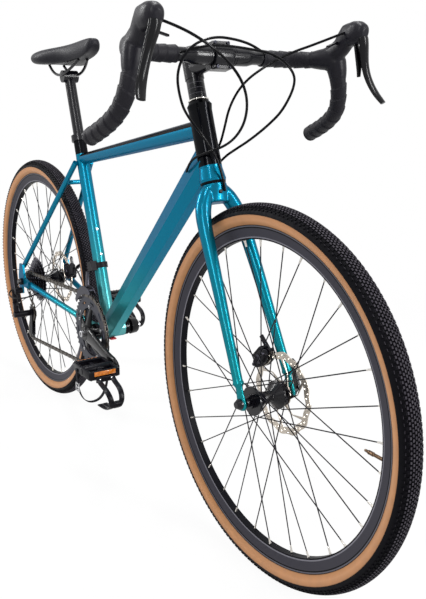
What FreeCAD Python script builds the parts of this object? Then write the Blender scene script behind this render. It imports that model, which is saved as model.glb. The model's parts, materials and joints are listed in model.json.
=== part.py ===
import FreeCAD, Part
import math
import os
import Sketcher

# A drop-bar gravel bike. Millimetres. X points forward, Y to the rider's left, Z up.
# The origin is on the ground, midway between the two axles, in the bike's mid plane.
# Names that end in angle are degrees, in count are whole numbers, in share are parts of another size.

SIZES = {
    # frame geometry
    "wheelbase": 1090,
    "chainstay_length": 442,
    "bb_drop": 43,
    "seat_angle": 72,
    "head_angle": 70.5,
    "fork_offset": 50,
    "crown_clearance": 55,
    # common fits
    "cut_overrun": 6,
    "seat_gap": 0.3,
    "running_clearance": 0.05,
    "tube_wall": 1.8,
    # frame tubes
    "head_tube_length": 144,
    "head_tube_radius": 22.5,
    "head_tube_bore": 18,
    "head_tube_flare": 3.5,
    "head_tube_flare_length": 22,
    "head_tube_collar": 1.5,
    "head_tube_collar_length": 10,
    "seat_tube_radius": 16,
    "seat_tube_length": 502,
    "top_tube_seat_radius": 14,
    "top_tube_head_radius": 18.5,
    "top_tube_seat_place": 440,
    "top_tube_head_place": 100,
    "down_tube_head_place": 43,
    "down_tube_head_width": 46,
    "down_tube_head_height": 54,
    "down_tube_bb_width": 52,
    "down_tube_bb_height": 46,
    "bb_shell_radius": 21,
    "bb_shell_width": 68,
    "bb_cup_radius": 20,
    "bb_cup_width": 10,
    "bb_cup_lip": 3,
    "chainstay_radius": 8,
    "chainstay_shell_spread": 22,
    "chainstay_tyre_spread": 33.5,
    "chainstay_tyre_place": 92,
    "chainstay_end_ahead": 42,
    "chainstay_end_below": 3,
    "stay_spread": 64.5,
    "seatstay_radius": 7,
    "seatstay_top_spread": 21,
    "seatstay_top_place": 432,
    "seatstay_end_behind": 6,
    "seatstay_end_above": 44,
    "bridge_radius": 6,
    "bridge_place_share": 0.83,
    "dropout_thickness": 6,
    "dropout_reach": 30,
    "dropout_front": 48,
    "dropout_hook": 14,
    "hub_width_rear": 135,
    "hub_width_front": 100,
    "boss_low_place": 192,
    "boss_spacing": 64,
    "boss_thread_radius": 2.5,
    "down_tube_boss_place": 250,
    # headset, steerer and stem
    "steerer_radius": 14.3,
    "steerer_wall": 2.2,
    "lower_cup_height": 8,
    "upper_cup_height": 11,
    "cup_radius": 24,
    "cup_skirt": 12,
    "spacer_stack": 40,
    "spacer_radius": 17,
    "spacer_count": 4,
    "stem_clamp_height": 40,
    "stem_clamp_radius": 18.5,
    "stem_length": 92,
    "stem_drop_angle": 7,
    "stem_body_radius": 15.5,
    "stem_front_height": 46,
    "stem_front_depth": 17,
    "stem_front_width": 42,
    "stem_cap_height": 5,
    "faceplate_window": 12,
    "bolt_head_radius": 4,
    "bolt_head_height": 5,
    "faceplate_bolt_half": 15,
    # handlebar
    "bar_radius": 12,
    "bar_clamp_radius": 15.9,
    "bar_clamp_width": 110,
    "tape_radius": 15,
    "tape_start": 92,
    "bar_top_spread": 178,
    "bar_reach": 74,
    "bar_hood_spread": 210,
    "bar_hook_spread": 224,
    "bar_hook_drop": 60,
    "bar_hook_ahead": 78,
    "bar_turn_spread": 236,
    "bar_turn_drop": 112,
    "bar_turn_ahead": 52,
    "bar_end_spread": 244,
    "bar_end_drop": 139,
    "bar_end_behind": 27,
    "plug_length": 4,
    "plug_radius": 15,
    # brake hoods and levers
    "hood_width": 31,
    "hood_length": 102,
    "hood_height": 95,
    "hood_rear_place": -42,
    "hood_base_drop": 34,
    "hood_round": 8,
    "lever_pivot_ahead": 66,
    "lever_pivot_rise": 44,
    "lever_root_height": 18,
    "lever_root_depth": 11,
    "lever_root_width": 16,
    "lever_tip_ahead": 28,
    "lever_tip_drop": 116,
    "lever_tip_spread": 36,
    "lever_tip_width": 14,
    "lever_tip_depth": 7,
    "lever_bend_share": 0.35,
    "lever_pin_radius": 3,
    "lever_pin_stub": 1.5,
    "paddle_length": 62,
    "paddle_width": 15,
    "paddle_thickness": 3,
    "paddle_behind": 9,
    "thumb_length": 26,
    "thumb_width": 8,
    "thumb_thickness": 5,
    "thumb_ahead_share": 0.6,
    "thumb_rise_share": 0.64,
    # fork
    "blade_spread_top": 39,
    "blade_spread_end": 56.5,
    "blade_radius_top": 13,
    "blade_radius_end": 8,
    "blade_top_place": 36,
    "crown_length": 44,
    "crown_depth": 40,
    "crown_width": 92,
    "crown_thickness": 26,
    "crown_round": 14,
    "fork_tip_thickness": 6,
    "fork_tip_length": 34,
    "fork_tip_width": 26,
    # wheels
    "tyre_radius": 353,
    "tyre_width": 43,
    "tread_half": 17,
    "tread_shoulder": 9,
    "sidewall_drop": 20,
    "tyre_height": 36.5,
    "bead_seat_depth": 5.5,
    "tyre_wall": 3.5,
    "rim_width": 26,
    "rim_depth": 27.5,
    "rim_inner_width": 13,
    "rim_well": 2.5,
    "rim_shelf": 1.2,
    "rim_wall": 2.2,
    "spoke_count": 32,
    "spoke_radius": 1.1,
    "spoke_rim_offset": 3,
    "spoke_lean_angle": 66,
    "valve_radius": 3,
    "valve_length": 42,
    "hub_flange_radius": 27,
    "hub_flange_thickness": 3.5,
    "hub_barrel_radius": 13,
    "hub_waist_radius": 10,
    "front_flange_right": 33,
    "front_flange_left": 22,
    "rear_flange_right": 19,
    "rear_flange_left": 33,
    "axle_radius": 5,
    "locknut_radius": 9,
    "locknut_length": 8,
    "skewer_nut_radius": 10,
    "skewer_nut_length": 14,
    "rotor_radius": 80,
    "rotor_thickness": 1.8,
    "rotor_track": 14,
    "rotor_hub_radius": 22,
    "rotor_arm_count": 6,
    "rotor_arm_width": 7,
    "rotor_sweep_angle": 30,
    "front_rotor_place": 36,
    "rear_rotor_place": 51,
    # disc calipers
    "caliper_length": 46,
    "caliper_depth": 34,
    "caliper_width": 32,
    "caliper_slot": 4.5,
    "caliper_reach": 78,
    "caliper_round": 5,
    "front_caliper_angle": 138,
    "rear_caliper_angle": 28,
    "post_radius": 5,
    "arm_length": 38,
    "arm_width": 10,
    "arm_thickness": 5,
    "arm_pivot_rise": 9,
    "arm_taper_share": 0.7,
    "arm_boss_rise": 1,
    # quick release levers
    "qr_length": 52,
    "qr_width": 13,
    "qr_thickness": 5,
    # cranks, chainrings and cassette
    "crank_length": 175,
    "crank_angle": -9.5,
    "spindle_radius": 12,
    "crank_inner_place": 63,
    "crank_thickness": 13,
    "crank_boss_radius": 19,
    "crank_end_radius": 13,
    "crank_waist": 24,
    "spider_arm_width": 15,
    "spider_arm_count": 5,
    "ring_thickness": 2,
    "ring_land": 14,
    "outer_teeth_count": 46,
    "inner_teeth_count": 30,
    "chain_pitch": 12.7,
    "tooth_tip": 2.4,
    "tooth_root": 3.4,
    "cog_spacing": 4.8,
    "cog_thickness": 1.8,
    "largest_cog_place": 24,
    "freehub_radius": 17,
    "inner_ring_place": 44.5,
    # chain
    "plate_height": 8,
    "plate_thickness": 0.9,
    "inner_plate_place": 1.4,
    "outer_plate_place": 2.45,
    "roller_radius": 2.6,
    # pedals
    "pedal_spindle_radius": 5.5,
    "pedal_length": 92,
    "pedal_width": 76,
    "pedal_height": 22,
    "pedal_place": 82,
    "pedal_core_radius": 11,
    "pedal_rail": 10,
    "toe_clip_width": 16,
    "toe_clip_thickness": 2,
    "toe_clip_reach": 58,
    "toe_clip_depth": 74,
    "strap_thickness": 2,
    "strap_width": 10,
    "strap_depth": 78,
    # seat
    "seatpost_radius": 13.6,
    "seatpost_wall": 2.2,
    "seatpost_top_place": 654,
    "seatpost_insert": 160,
    "post_head_radius": 15,
    "post_head_width": 40,
    "rail_radius": 3.5,
    "rail_spread": 22,
    "rail_rise": 26,
    "rail_rear_place": -78,
    "rail_front_place": 92,
    "saddle_length": 272,
    "saddle_width": 148,
    "saddle_height": 50,
    "saddle_rear_place": -105,
    "saddle_base_rise": 24,
    "seat_clamp_height": 16,
    "seat_clamp_wall": 4,
    "seat_clamp_ear": 12,
    # front derailleur
    "fd_band_place": 158,
    "fd_band_height": 14,
    "fd_band_wall": 3.5,
    "fd_body_reach": 12,
    "fd_body_size": 24,
    "fd_front_angle": 78,
    "fd_rear_angle": 130,
    "fd_arm_angle": 112,
    "fd_barrel_length": 16,
    "fd_cage_height": 26,
    "fd_cage_gap": 13,
    "fd_plate_thickness": 1.5,
    "fd_ring_gap": 7,
    # rear derailleur
    "hanger_behind": 8,
    "hanger_below": 29,
    "rd_bracket_radius": 9,
    "rd_pin_place": 88,
    "rd_link_length": 40,
    "rd_link_height": 20,
    "rd_link_width": 15,
    "rd_link_angle": -15,
    "rd_pin_radius": 3,
    "rd_knuckle_radius": 9,
    "jockey_ahead": 14,
    "jockey_below": 94,
    "jockey_teeth_count": 11,
    "jockey_thickness": 7,
    "jockey_tooth_thickness": 2.2,
    "jockey_hub_radius": 15,
    "cage_plate_thickness": 1.6,
    "cage_plate_width": 20,
    "cage_length": 62,
    "cage_angle": -97,
    "cage_pivot_lead": 12,
    "cage_pivot_angle": 120,
    # cables
    "housing_radius": 2.4,
    "rear_housing_radius": 2.2,
    "route_unit": 1,
}

COG_TEETH_COUNTS = (32, 28, 24, 21, 18, 15, 13, 11)
DRIVEN_COG = 6

doc = FreeCAD.newDocument("gravel_bike")
sheet = doc.addObject("Spreadsheet::Sheet", "Sizes")
V = FreeCAD.Vector
UP = V(0, 0, 1)
LEFT = V(0, 1, 0)
AHEAD = V(1, 0, 0)


class Size(float):
    """A number that remembers the sheet expression it was worked out from."""

    def __new__(cls, value, text):
        size = super().__new__(cls, value)
        size.text = text
        return size

    def __add__(self, other):
        return joined(self, "+", other, float(self) + float(other))

    def __radd__(self, other):
        return joined(other, "+", self, float(other) + float(self))

    def __sub__(self, other):
        return joined(self, "-", other, float(self) - float(other))

    def __rsub__(self, other):
        return joined(other, "-", self, float(other) - float(self))

    def __mul__(self, other):
        return joined(self, "*", other, float(self) * float(other))

    __rmul__ = __mul__

    def __truediv__(self, other):
        return joined(self, "/", other, float(self) / float(other))

    def __neg__(self):
        return joined(0, "-", self, -float(self))


def text_of(value):
    return value.text if isinstance(value, Size) else repr(float(value))


def joined(left, sign, right, value):
    return Size(value, "(%s %s %s)" % (text_of(left), sign, text_of(right)))


class Sheet:
    """The sizes as attributes, each bound to its cell."""


dim = Sheet()
for row, (alias, number) in enumerate(SIZES.items(), 1):
    cell = "A%d" % row
    sheet.set(cell, str(number))
    sheet.setAlias(cell, alias)
    setattr(dim, alias, Size(number, "Sizes." + alias))
doc.recompute()


# Places worked out from the sizes

def turned(angle):
    """Unit vector in the bike's mid plane, angle in degrees up from straight ahead."""
    return V(math.cos(math.radians(angle)), 0, math.sin(math.radians(angle)))


def sideways(point, spread):
    return V(point.x, spread, point.z)


rear_axle = V(-dim.wheelbase / 2, 0, dim.tyre_radius)
front_axle = V(dim.wheelbase / 2, 0, dim.tyre_radius)
bb_ahead = math.sqrt(dim.chainstay_length ** 2 - dim.bb_drop ** 2)
bb = rear_axle + V(bb_ahead, 0, -dim.bb_drop)
seat_up = turned(180 - dim.seat_angle)
steer_up = turned(180 - dim.head_angle)
steer_ahead = turned(90 - dim.head_angle)
steer_foot = front_axle - steer_ahead * dim.fork_offset
sidewall_radius = dim.tyre_radius - dim.sidewall_drop
rim_flange_radius = dim.tyre_radius - dim.tyre_height
bead_radius = rim_flange_radius - dim.bead_seat_depth
rim_inner_radius = rim_flange_radius - dim.rim_depth
crown_height = dim.tyre_radius + dim.crown_clearance
head_bottom = crown_height + dim.lower_cup_height
head_top = head_bottom + dim.head_tube_length
spacers_bottom = head_top + dim.upper_cup_height
stem_bottom = spacers_bottom + dim.spacer_stack
stem_middle = stem_bottom + dim.stem_clamp_height / 2


def on_steerer(place):
    return steer_foot + steer_up * place


def on_seat_tube(place):
    return bb + seat_up * place


stem_ahead = turned(90 - dim.head_angle - dim.stem_drop_angle)
bar_middle = on_steerer(stem_middle) + stem_ahead * dim.stem_length
top_tube_seat = on_seat_tube(dim.top_tube_seat_place)
top_tube_head = on_steerer(head_bottom + dim.top_tube_head_place)
down_tube_head = on_steerer(head_bottom + dim.down_tube_head_place)
crank_out = turned(dim.crank_angle)
seat_top = on_seat_tube(dim.seatpost_top_place)


def cog_place(index):
    return dim.largest_cog_place + dim.cog_spacing * index


outer_ring_place = cog_place(DRIVEN_COG)


def pitch_radius(teeth):
    return dim.chain_pitch / (2 * math.sin(math.pi / teeth))


# Drawing helpers

nodes = []


def node(label, thing):
    thing.Label = label
    nodes.append(thing)
    return thing


def bind(thing, name, size):
    if isinstance(size, Size):
        thing.setExpression(name, size.text)
    else:
        setattr(thing, name, size)


def along(start, direction, axis=UP):
    return FreeCAD.Placement(start, FreeCAD.Rotation(axis, direction))


def cylinder(name, radius, height, placement):
    rod = doc.addObject("Part::Cylinder", name)
    bind(rod, "Radius", radius)
    bind(rod, "Height", height)
    rod.Placement = placement
    return rod


def cone(name, start_radius, end_radius, height, placement):
    taper = doc.addObject("Part::Cone", name)
    bind(taper, "Radius1", start_radius)
    bind(taper, "Radius2", end_radius)
    bind(taper, "Height", height)
    taper.Placement = placement
    return taper


def block(name, length, width, height, placement):
    """A box centred on the placement's origin."""
    box = doc.addObject("Part::Box", name)
    bind(box, "Length", length)
    bind(box, "Width", width)
    bind(box, "Height", height)
    box.Placement = placement.multiply(FreeCAD.Placement(V(-length, -width, -height) / 2, FreeCAD.Rotation()))
    return box


def cut(name, base, *tools):
    for number, tool in enumerate(tools, 1):
        result = doc.addObject("Part::Cut", name if number == len(tools) else "%s_%d" % (name, number))
        result.Base = base
        result.Tool = tool
        base = result
    return base


def fuse(name, *things):
    result = doc.addObject("Part::MultiFuse", name)
    result.Shapes = list(things)
    return result


def group(name, *things):
    result = doc.addObject("Part::Compound", name)
    result.Links = list(things)
    return result


def rounded(name, base, radius):
    """Every edge of the base rounded by one radius."""
    doc.recompute()
    result = doc.addObject("Part::Fillet", name)
    result.Base = base
    result.Edges = [(i + 1, float(radius), float(radius)) for i in range(len(base.Shape.Edges))]
    return result


def shaped(name, shape):
    thing = doc.addObject("Part::Feature", name)
    thing.Shape = shape
    return thing


def sketch_on(body, role, name):
    plane = [f for f in body.Origin.OriginFeatures if f.Role == role][0]
    sketch = body.newObject("Sketcher::SketchObject", name)
    sketch.AttachmentSupport = [(plane, "")]
    sketch.MapMode = "FlatFace"
    return sketch


def hold(sketch, index, position, x, y):
    """Holds a point of the sketch at two sizes from its origin."""
    for kind, size in (("DistanceX", x), ("DistanceY", y)):
        number = sketch.addConstraint(Sketcher.Constraint(kind, -1, 1, index, position, float(size)))
        if isinstance(size, Size):
            sketch.setExpression("Constraints[%d]" % number, size.text)


def outline(sketch, points):
    """A closed outline of straight lines, each corner held by sizes."""
    first = sketch.GeometryCount
    corners = [V(float(x), float(y), 0) for x, y in points]
    for i, corner in enumerate(corners):
        sketch.addGeometry(Part.LineSegment(corner, corners[(i + 1) % len(corners)]), False)
    for i, (x, y) in enumerate(points):
        following = first + (i + 1) % len(points)
        sketch.addConstraint(Sketcher.Constraint("Coincident", first + i, 2, following, 1))
        hold(sketch, first + i, 1, x, y)


def circle(sketch, x, y, radius):
    index = sketch.addGeometry(Part.Circle(V(float(x), float(y), 0), UP, float(radius)), False)
    hold(sketch, index, 3, x, y)
    number = sketch.addConstraint(Sketcher.Constraint("Radius", index, float(radius)))
    if isinstance(radius, Size):
        sketch.setExpression("Constraints[%d]" % number, radius.text)


def turned_body(name, points, placement):
    """A body turned on a lathe: points are (radius, place along the body's Y axis)."""
    body = doc.addObject("PartDesign::Body", name)
    sketch = sketch_on(body, "XY_Plane", name + "_profile")
    outline(sketch, points)
    turn = body.newObject("PartDesign::Revolution", name + "_turn")
    turn.Profile = sketch
    turn.ReferenceAxis = (sketch, ["V_Axis"])
    turn.Angle = 360
    body.Placement = placement
    return body


def plate_body(name, points, thickness, placement, holes=()):
    """A flat plate in the XZ plane, thickness shared to both sides of it."""
    body = doc.addObject("PartDesign::Body", name)
    sketch = sketch_on(body, "XZ_Plane", name + "_outline")
    outline(sketch, points)
    for x, z, radius in holes:
        circle(sketch, x, z, radius)
    pad = body.newObject("PartDesign::Pad", name + "_pad")
    pad.Profile = sketch
    bind(pad, "Length", thickness)
    pad.Midplane = True
    body.Placement = placement
    return body


def at(point):
    return FreeCAD.Placement(point, FreeCAD.Rotation())


def rounded_path(points, share=0.45):
    """Straight runs joined by tangent arcs as large as the runs allow, and the arcs' radii."""
    edges = []
    radii = []
    here = points[0]
    for before, corner, after in zip(points, points[1:], points[2:]):
        back = (before - corner).normalize()
        on = (after - corner).normalize()
        half_turn = (math.pi - back.getAngle(on)) / 2
        reach = share * min((before - corner).Length, (after - corner).Length)
        radius = reach / math.tan(half_turn)
        start = corner + back * reach
        end = corner + on * reach
        bisector = (back + on).normalize()
        middle = corner + bisector * (radius / math.cos(half_turn) - radius)
        edges.append(Part.LineSegment(here, start).toShape())
        edges.append(Part.Arc(start, middle, end).toShape())
        radii.append(radius)
        here = end
    edges.append(Part.LineSegment(here, points[-1]).toShape())
    return Part.Wire(edges), radii


def swept(name, points, radius):
    """A round rod along a rounded path, as a sweep of a circle."""
    wire, radii = rounded_path(points)
    path = shaped(name + "_path", wire)
    ring = doc.addObject("Part::Circle", name + "_ring")
    bind(ring, "Radius", radius)
    ring.Placement = along(points[0], points[1] - points[0])
    sweep = doc.addObject("Part::Sweep", name)
    sweep.Sections = [ring]
    sweep.Spine = (path, [])
    sweep.Solid = True
    doc.recompute()
    wanted = math.pi * radius ** 2 * wire.Length
    print("%s: radii %s, volume %.4f of section times length" % (
        name, " ".join("%.0f" % r for r in radii), sweep.Shape.Volume / wanted))
    return sweep


def lofted(name, sections):
    return shaped(name, Part.makeLoft(sections, True, True))


def rectangle(middle, across, up):
    """A closed rectangular wire from its middle and two half sides."""
    corners = [middle + across * a + up * u for a, u in ((-1, -1), (1, -1), (1, 1), (-1, 1))]
    return Part.makePolygon(corners + corners[:1])


# Frame

def make_head_tube():
    radius = dim.head_tube_radius
    flare = radius + dim.head_tube_flare
    collar = radius + dim.head_tube_collar
    length = dim.head_tube_length
    tube = turned_body("head_tube_body", [
        (dim.head_tube_bore, 0),
        (flare, 0),
        (radius, dim.head_tube_flare_length),
        (radius, length - dim.head_tube_collar_length),
        (collar, length),
        (dim.head_tube_bore, length),
    ], along(on_steerer(head_bottom), steer_up, LEFT))
    node("head_tube", tube)


def head_tube_room():
    reach = dim.head_tube_length
    start = on_steerer(head_bottom - reach)
    return cylinder("head_tube_room", dim.head_tube_radius, reach * 3, along(start, steer_up))


def head_flare_room():
    """The space taken by the head tube's flared foot and the cup below it."""
    flare = dim.head_tube_radius + dim.head_tube_flare
    length = dim.head_tube_flare_length
    start = on_steerer(head_bottom)
    foot = cone("head_flare_room", flare, dim.head_tube_radius, length, along(start, steer_up))
    below = cylinder("head_cup_room", flare, length, along(start, -steer_up))
    return fuse("head_foot_room", foot, below)


def seat_tube_room():
    return cylinder("seat_tube_room", dim.seat_tube_radius, dim.seat_tube_length, along(bb, seat_up))


def bb_shell_room():
    width = dim.bb_shell_width * 2
    start = sideways(bb, -width / 2)
    return cylinder("bb_shell_room", dim.bb_shell_radius, width, along(start, LEFT))


def make_seat_tube():
    placement = along(bb, seat_up)
    outer = cylinder("seat_tube_outer", dim.seat_tube_radius, dim.seat_tube_length, placement)
    bore_radius = dim.seatpost_radius + dim.running_clearance
    bore_length = dim.seat_tube_length + dim.cut_overrun
    bore = cylinder("seat_tube_bore", bore_radius, bore_length, placement)
    front = V(seat_up.z, 0, -seat_up.x)
    bosses = [boss_hole("seat_boss_%d" % i, on_seat_tube(dim.boss_low_place + dim.boss_spacing * i), front)
              for i in range(2)]
    node("seat_tube", cut("seat_tube", outer, bore, bb_shell_room(), *bosses))


def boss_hole(name, middle, out):
    """A threaded bottle-cage hole from a tube's middle out through one side."""
    return cylinder(name, dim.boss_thread_radius, dim.down_tube_bb_width, along(middle, out))


def make_top_tube():
    run = top_tube_head - top_tube_seat
    placement = along(top_tube_seat, run)
    wall = dim.tube_wall
    outer = cone("top_tube_outer", dim.top_tube_seat_radius, dim.top_tube_head_radius, run.Length, placement)
    inner = cone("top_tube_inner", dim.top_tube_seat_radius - wall, dim.top_tube_head_radius - wall,
                 run.Length, placement)
    tube = cut("top_tube_shell", outer, head_tube_room(), seat_tube_room())
    node("top_tube", cut("top_tube", tube, inner))


DOWN_TUBE_SHARES = ((-0.5, -0.12), (-0.22, -0.5), (0.22, -0.5), (0.5, -0.12), (0.3, 0.5), (-0.3, 0.5))


def down_tube_section(middle, direction, width, height):
    """The tube's creased six-sided section, wider below its middle."""
    up = V(-direction.z, 0, direction.x)
    corners = [middle + LEFT * (a * width) + up * (b * height) for a, b in DOWN_TUBE_SHARES]
    return Part.makePolygon(corners + corners[:1])


def make_down_tube():
    run = down_tube_head - bb
    direction = V(run).normalize()
    skins = []
    for name, wall in (("down_tube_outer", 0), ("down_tube_inner", dim.tube_wall * 2)):
        low = down_tube_section(bb, direction, dim.down_tube_bb_width - wall, dim.down_tube_bb_height - wall)
        high = down_tube_section(down_tube_head, direction, dim.down_tube_head_width - wall,
                                 dim.down_tube_head_height - wall)
        skins.append(lofted(name, [low, high]))
    above = V(-direction.z, 0, direction.x)
    places = [dim.down_tube_boss_place + dim.boss_spacing * i for i in range(2)]
    bosses = [boss_hole("down_boss", bb + direction * place, above) for place in places]
    tools = [skins[1], head_tube_room(), head_flare_room(), bb_shell_room(), seat_tube_room()] + bosses
    node("down_tube", cut("down_tube", skins[0], *tools))


def make_bottom_bracket():
    half = dim.bb_shell_width / 2
    cup_bore = dim.spindle_radius + dim.running_clearance
    skirt = dim.bb_shell_radius - dim.bb_cup_lip
    shell = turned_body("bb_shell", [
        (skirt, -half),
        (dim.bb_shell_radius, -half),
        (dim.bb_shell_radius, half),
        (skirt, half),
    ], at(bb))
    cups = []
    for side, name in ((-1, "right"), (1, "left")):
        cups.append(turned_body("bb_cup_" + name, [
            (cup_bore, half * side),
            (dim.bb_cup_radius, half * side),
            (dim.bb_cup_radius, (half + dim.bb_cup_width) * side),
            (cup_bore, (half + dim.bb_cup_width) * side),
        ], at(bb)))
    node("bottom_bracket", group("bottom_bracket", shell, *cups))


def chainstay_points(side):
    end = rear_axle + V(dim.chainstay_end_ahead, 0, -dim.chainstay_end_below)
    tyre = bb + V(-dim.chainstay_tyre_place, 0, dim.chainstay_tyre_place * dim.bb_drop / dim.chainstay_length)
    return [sideways(bb, side * dim.chainstay_shell_spread),
            sideways(tyre, side * dim.chainstay_tyre_spread),
            sideways(end, side * dim.stay_spread)]


def seatstay_ends(side):
    low = rear_axle + V(-dim.seatstay_end_behind, 0, dim.seatstay_end_above)
    return (sideways(low, side * dim.stay_spread),
            sideways(on_seat_tube(dim.seatstay_top_place), side * dim.seatstay_top_spread))


def make_rear_stays():
    chainstays = []
    seatstays = []
    bridge_ends = []
    for side, name in ((-1, "right"), (1, "left")):
        chainstay = swept("chainstay_" + name, chainstay_points(side), dim.chainstay_radius)
        chainstays.append(cut("chainstay_cut_" + name, chainstay, bb_shell_room(), dropout_room(side)))
        low, high = seatstay_ends(side)
        run = high - low
        stay = cylinder("seatstay_" + name, dim.seatstay_radius, run.Length, along(low, run))
        rooms = (seat_tube_room(), dropout_room(side), top_tube_room())
        seatstays.append(cut("seatstay_cut_" + name, stay, *rooms))
        bridge_ends.append(low + run * dim.bridge_place_share)
    run = bridge_ends[1] - bridge_ends[0]
    bridge = cylinder("bridge", dim.bridge_radius, run.Length, along(bridge_ends[0], run))
    bridge = cut("bridge_cut", bridge, *seatstays)
    node("chainstays", group("chainstays", *chainstays, *make_dropouts()))
    node("seatstays", group("seatstays", *seatstays, bridge))


def top_tube_room():
    run = top_tube_head - top_tube_seat
    return cone("top_tube_room", dim.top_tube_seat_radius, dim.top_tube_head_radius, run.Length,
                along(top_tube_seat, run))


def dropout_room(side):
    """The slab of space that a dropout plate takes up."""
    middle = sideways(rear_axle, side * (dim.hub_width_rear + dim.dropout_thickness) / 2)
    reach = dim.dropout_reach * 4
    return block("dropout_room", reach, dim.dropout_thickness, reach, at(middle))


def make_dropouts():
    reach = dim.dropout_reach
    slot = dim.axle_radius + dim.running_clearance
    hook = dim.dropout_hook
    high = dim.seatstay_end_above + dim.seatstay_radius
    plates = []
    for side, name in ((-1, "right"), (1, "left")):
        hanger = dim.hanger_below + dim.rd_bracket_radius if side < 0 else hook
        middle = sideways(rear_axle, side * (dim.hub_width_rear + dim.dropout_thickness) / 2)
        plates.append(plate_body("dropout_" + name, [
            (slot, slot),
            (slot, -hook),
            (dim.dropout_front - hook / 2, -hook),
            (dim.dropout_front, hook / 2),
            (reach / 2, hook),
            (dim.seatstay_radius, high),
            (-dim.seatstay_end_behind * 2 - dim.seatstay_radius, high),
            (-reach, hook),
            (-reach, -hanger),
            (-slot, -hanger),
            (-slot, slot),
        ], dim.dropout_thickness, at(middle)))
    return plates


def make_headset():
    bore = dim.steerer_radius + dim.running_clearance
    gap = dim.seat_gap
    lower = turned_body("lower_cup", [
        (bore, gap - dim.lower_cup_height),
        (dim.cup_radius, gap - dim.lower_cup_height),
        (dim.cup_radius + dim.head_tube_collar, 0),
        (dim.head_tube_bore, 0),
        (dim.head_tube_bore, dim.cup_skirt),
        (bore, dim.cup_skirt),
    ], along(on_steerer(head_bottom), steer_up, LEFT))
    upper = turned_body("upper_cup", [
        (bore, -dim.cup_skirt),
        (dim.head_tube_bore, -dim.cup_skirt),
        (dim.head_tube_bore, 0),
        (dim.cup_radius, 0),
        (dim.spacer_radius, dim.upper_cup_height - gap),
        (bore, dim.upper_cup_height - gap),
    ], along(on_steerer(head_top), steer_up, LEFT))
    node("headset_cups", group("headset_cups", lower, upper))


def make_seat_clamp():
    start = on_seat_tube(dim.seat_tube_length - dim.seat_clamp_height)
    placement = along(start, seat_up)
    outer = dim.seat_tube_radius + dim.seat_clamp_wall
    ring = cylinder("seat_clamp_ring", outer, dim.seat_clamp_height, placement)
    bore = cylinder("seat_clamp_bore", dim.seat_tube_radius, dim.seat_clamp_height, placement)
    back = V(-seat_up.z, 0, seat_up.x)
    ear_middle = start + seat_up * (dim.seat_clamp_height / 2) + back * outer
    ear = block("seat_clamp_ear", dim.seat_clamp_ear, dim.seat_clamp_ear, dim.seat_clamp_height,
                along(ear_middle, seat_up))
    bolt_reach = dim.seat_clamp_ear + dim.bolt_head_height * 2
    bolt_start = ear_middle + back * dim.bolt_head_height / 2 - LEFT * bolt_reach / 2
    bolt = cylinder("seat_clamp_bolt", dim.bolt_head_radius, bolt_reach, along(bolt_start, LEFT))
    node("seat_clamp", cut("seat_clamp", fuse("seat_clamp_solid", ring, ear, bolt), bore))


# Fork, stem and handlebar

def make_steerer():
    bottom = crown_height - dim.crown_length / 2
    length = stem_bottom + dim.stem_clamp_height - bottom
    placement = along(on_steerer(bottom), steer_up)
    outer = cylinder("steerer_outer", dim.steerer_radius, length, placement)
    inner = cylinder("steerer_inner", dim.steerer_radius - dim.steerer_wall, length, placement)
    node("steerer_tube", cut("steerer_tube", outer, inner))


def blade_ends(side):
    top = on_steerer(crown_height - dim.blade_top_place)
    end = front_axle + steer_up * dim.fork_tip_length
    return sideways(top, side * dim.blade_spread_top), sideways(end, side * dim.blade_spread_end)


def make_fork_blades():
    middle = on_steerer(crown_height - dim.crown_length / 2)
    turn = along(middle, steer_up)
    slab = block("crown_slab", dim.crown_depth, dim.crown_width, dim.crown_length, turn)
    crown = rounded("crown_rounded", slab, dim.crown_round)
    bore = cylinder("crown_bore", dim.steerer_radius, dim.crown_length * 2,
                    along(on_steerer(crown_height - dim.crown_length / 2), steer_up))
    arch = cylinder("crown_arch", dim.crown_thickness, dim.crown_depth * 2,
                    along(on_steerer(crown_height - dim.crown_length) - steer_ahead * dim.crown_depth,
                          steer_ahead))
    pieces = []
    rooms = []
    for side, name in ((-1, "right"), (1, "left")):
        top, end = blade_ends(side)
        run = end - top
        blade = cone("blade_" + name, dim.blade_radius_top, dim.blade_radius_end, run.Length, along(top, run))
        rooms.append(cone("blade_room_" + name, dim.blade_radius_top, dim.blade_radius_end, run.Length,
                          along(top, run)))
        tip_middle = front_axle + steer_up * dim.fork_tip_length / 2
        spread = side * (dim.hub_width_front + dim.fork_tip_thickness) / 2
        tip = block("fork_tip_" + name, dim.fork_tip_width, dim.fork_tip_thickness,
                    dim.fork_tip_length * 2, along(sideways(tip_middle, spread), steer_up))
        slot = cylinder("fork_tip_slot_" + name, dim.axle_radius + dim.running_clearance, dim.hub_width_front,
                        along(sideways(front_axle, spread) - LEFT * dim.hub_width_front / 2, LEFT))
        pieces.append(cut("fork_leg_" + name, fuse("fork_leg_solid_" + name, blade, tip), slot))
    crown = cut("crown", crown, bore, arch, *rooms)
    node("fork_blades", group("fork_blades", crown, *pieces))


def make_spacers():
    height = dim.spacer_stack / dim.spacer_count
    rings = []
    for i in range(int(dim.spacer_count)):
        rings.append(turned_body("spacer_%d" % i, [
            (dim.steerer_radius, height * i),
            (dim.spacer_radius, height * i),
            (dim.spacer_radius, height * (i + 1)),
            (dim.steerer_radius, height * (i + 1)),
        ], along(on_steerer(spacers_bottom), steer_up, LEFT)))
    cap = cylinder("top_cap", dim.stem_clamp_radius, dim.stem_cap_height,
                   along(on_steerer(stem_bottom + dim.stem_clamp_height), steer_up))
    node("headset_spacers", group("headset_spacers", cap, *rings))


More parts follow.
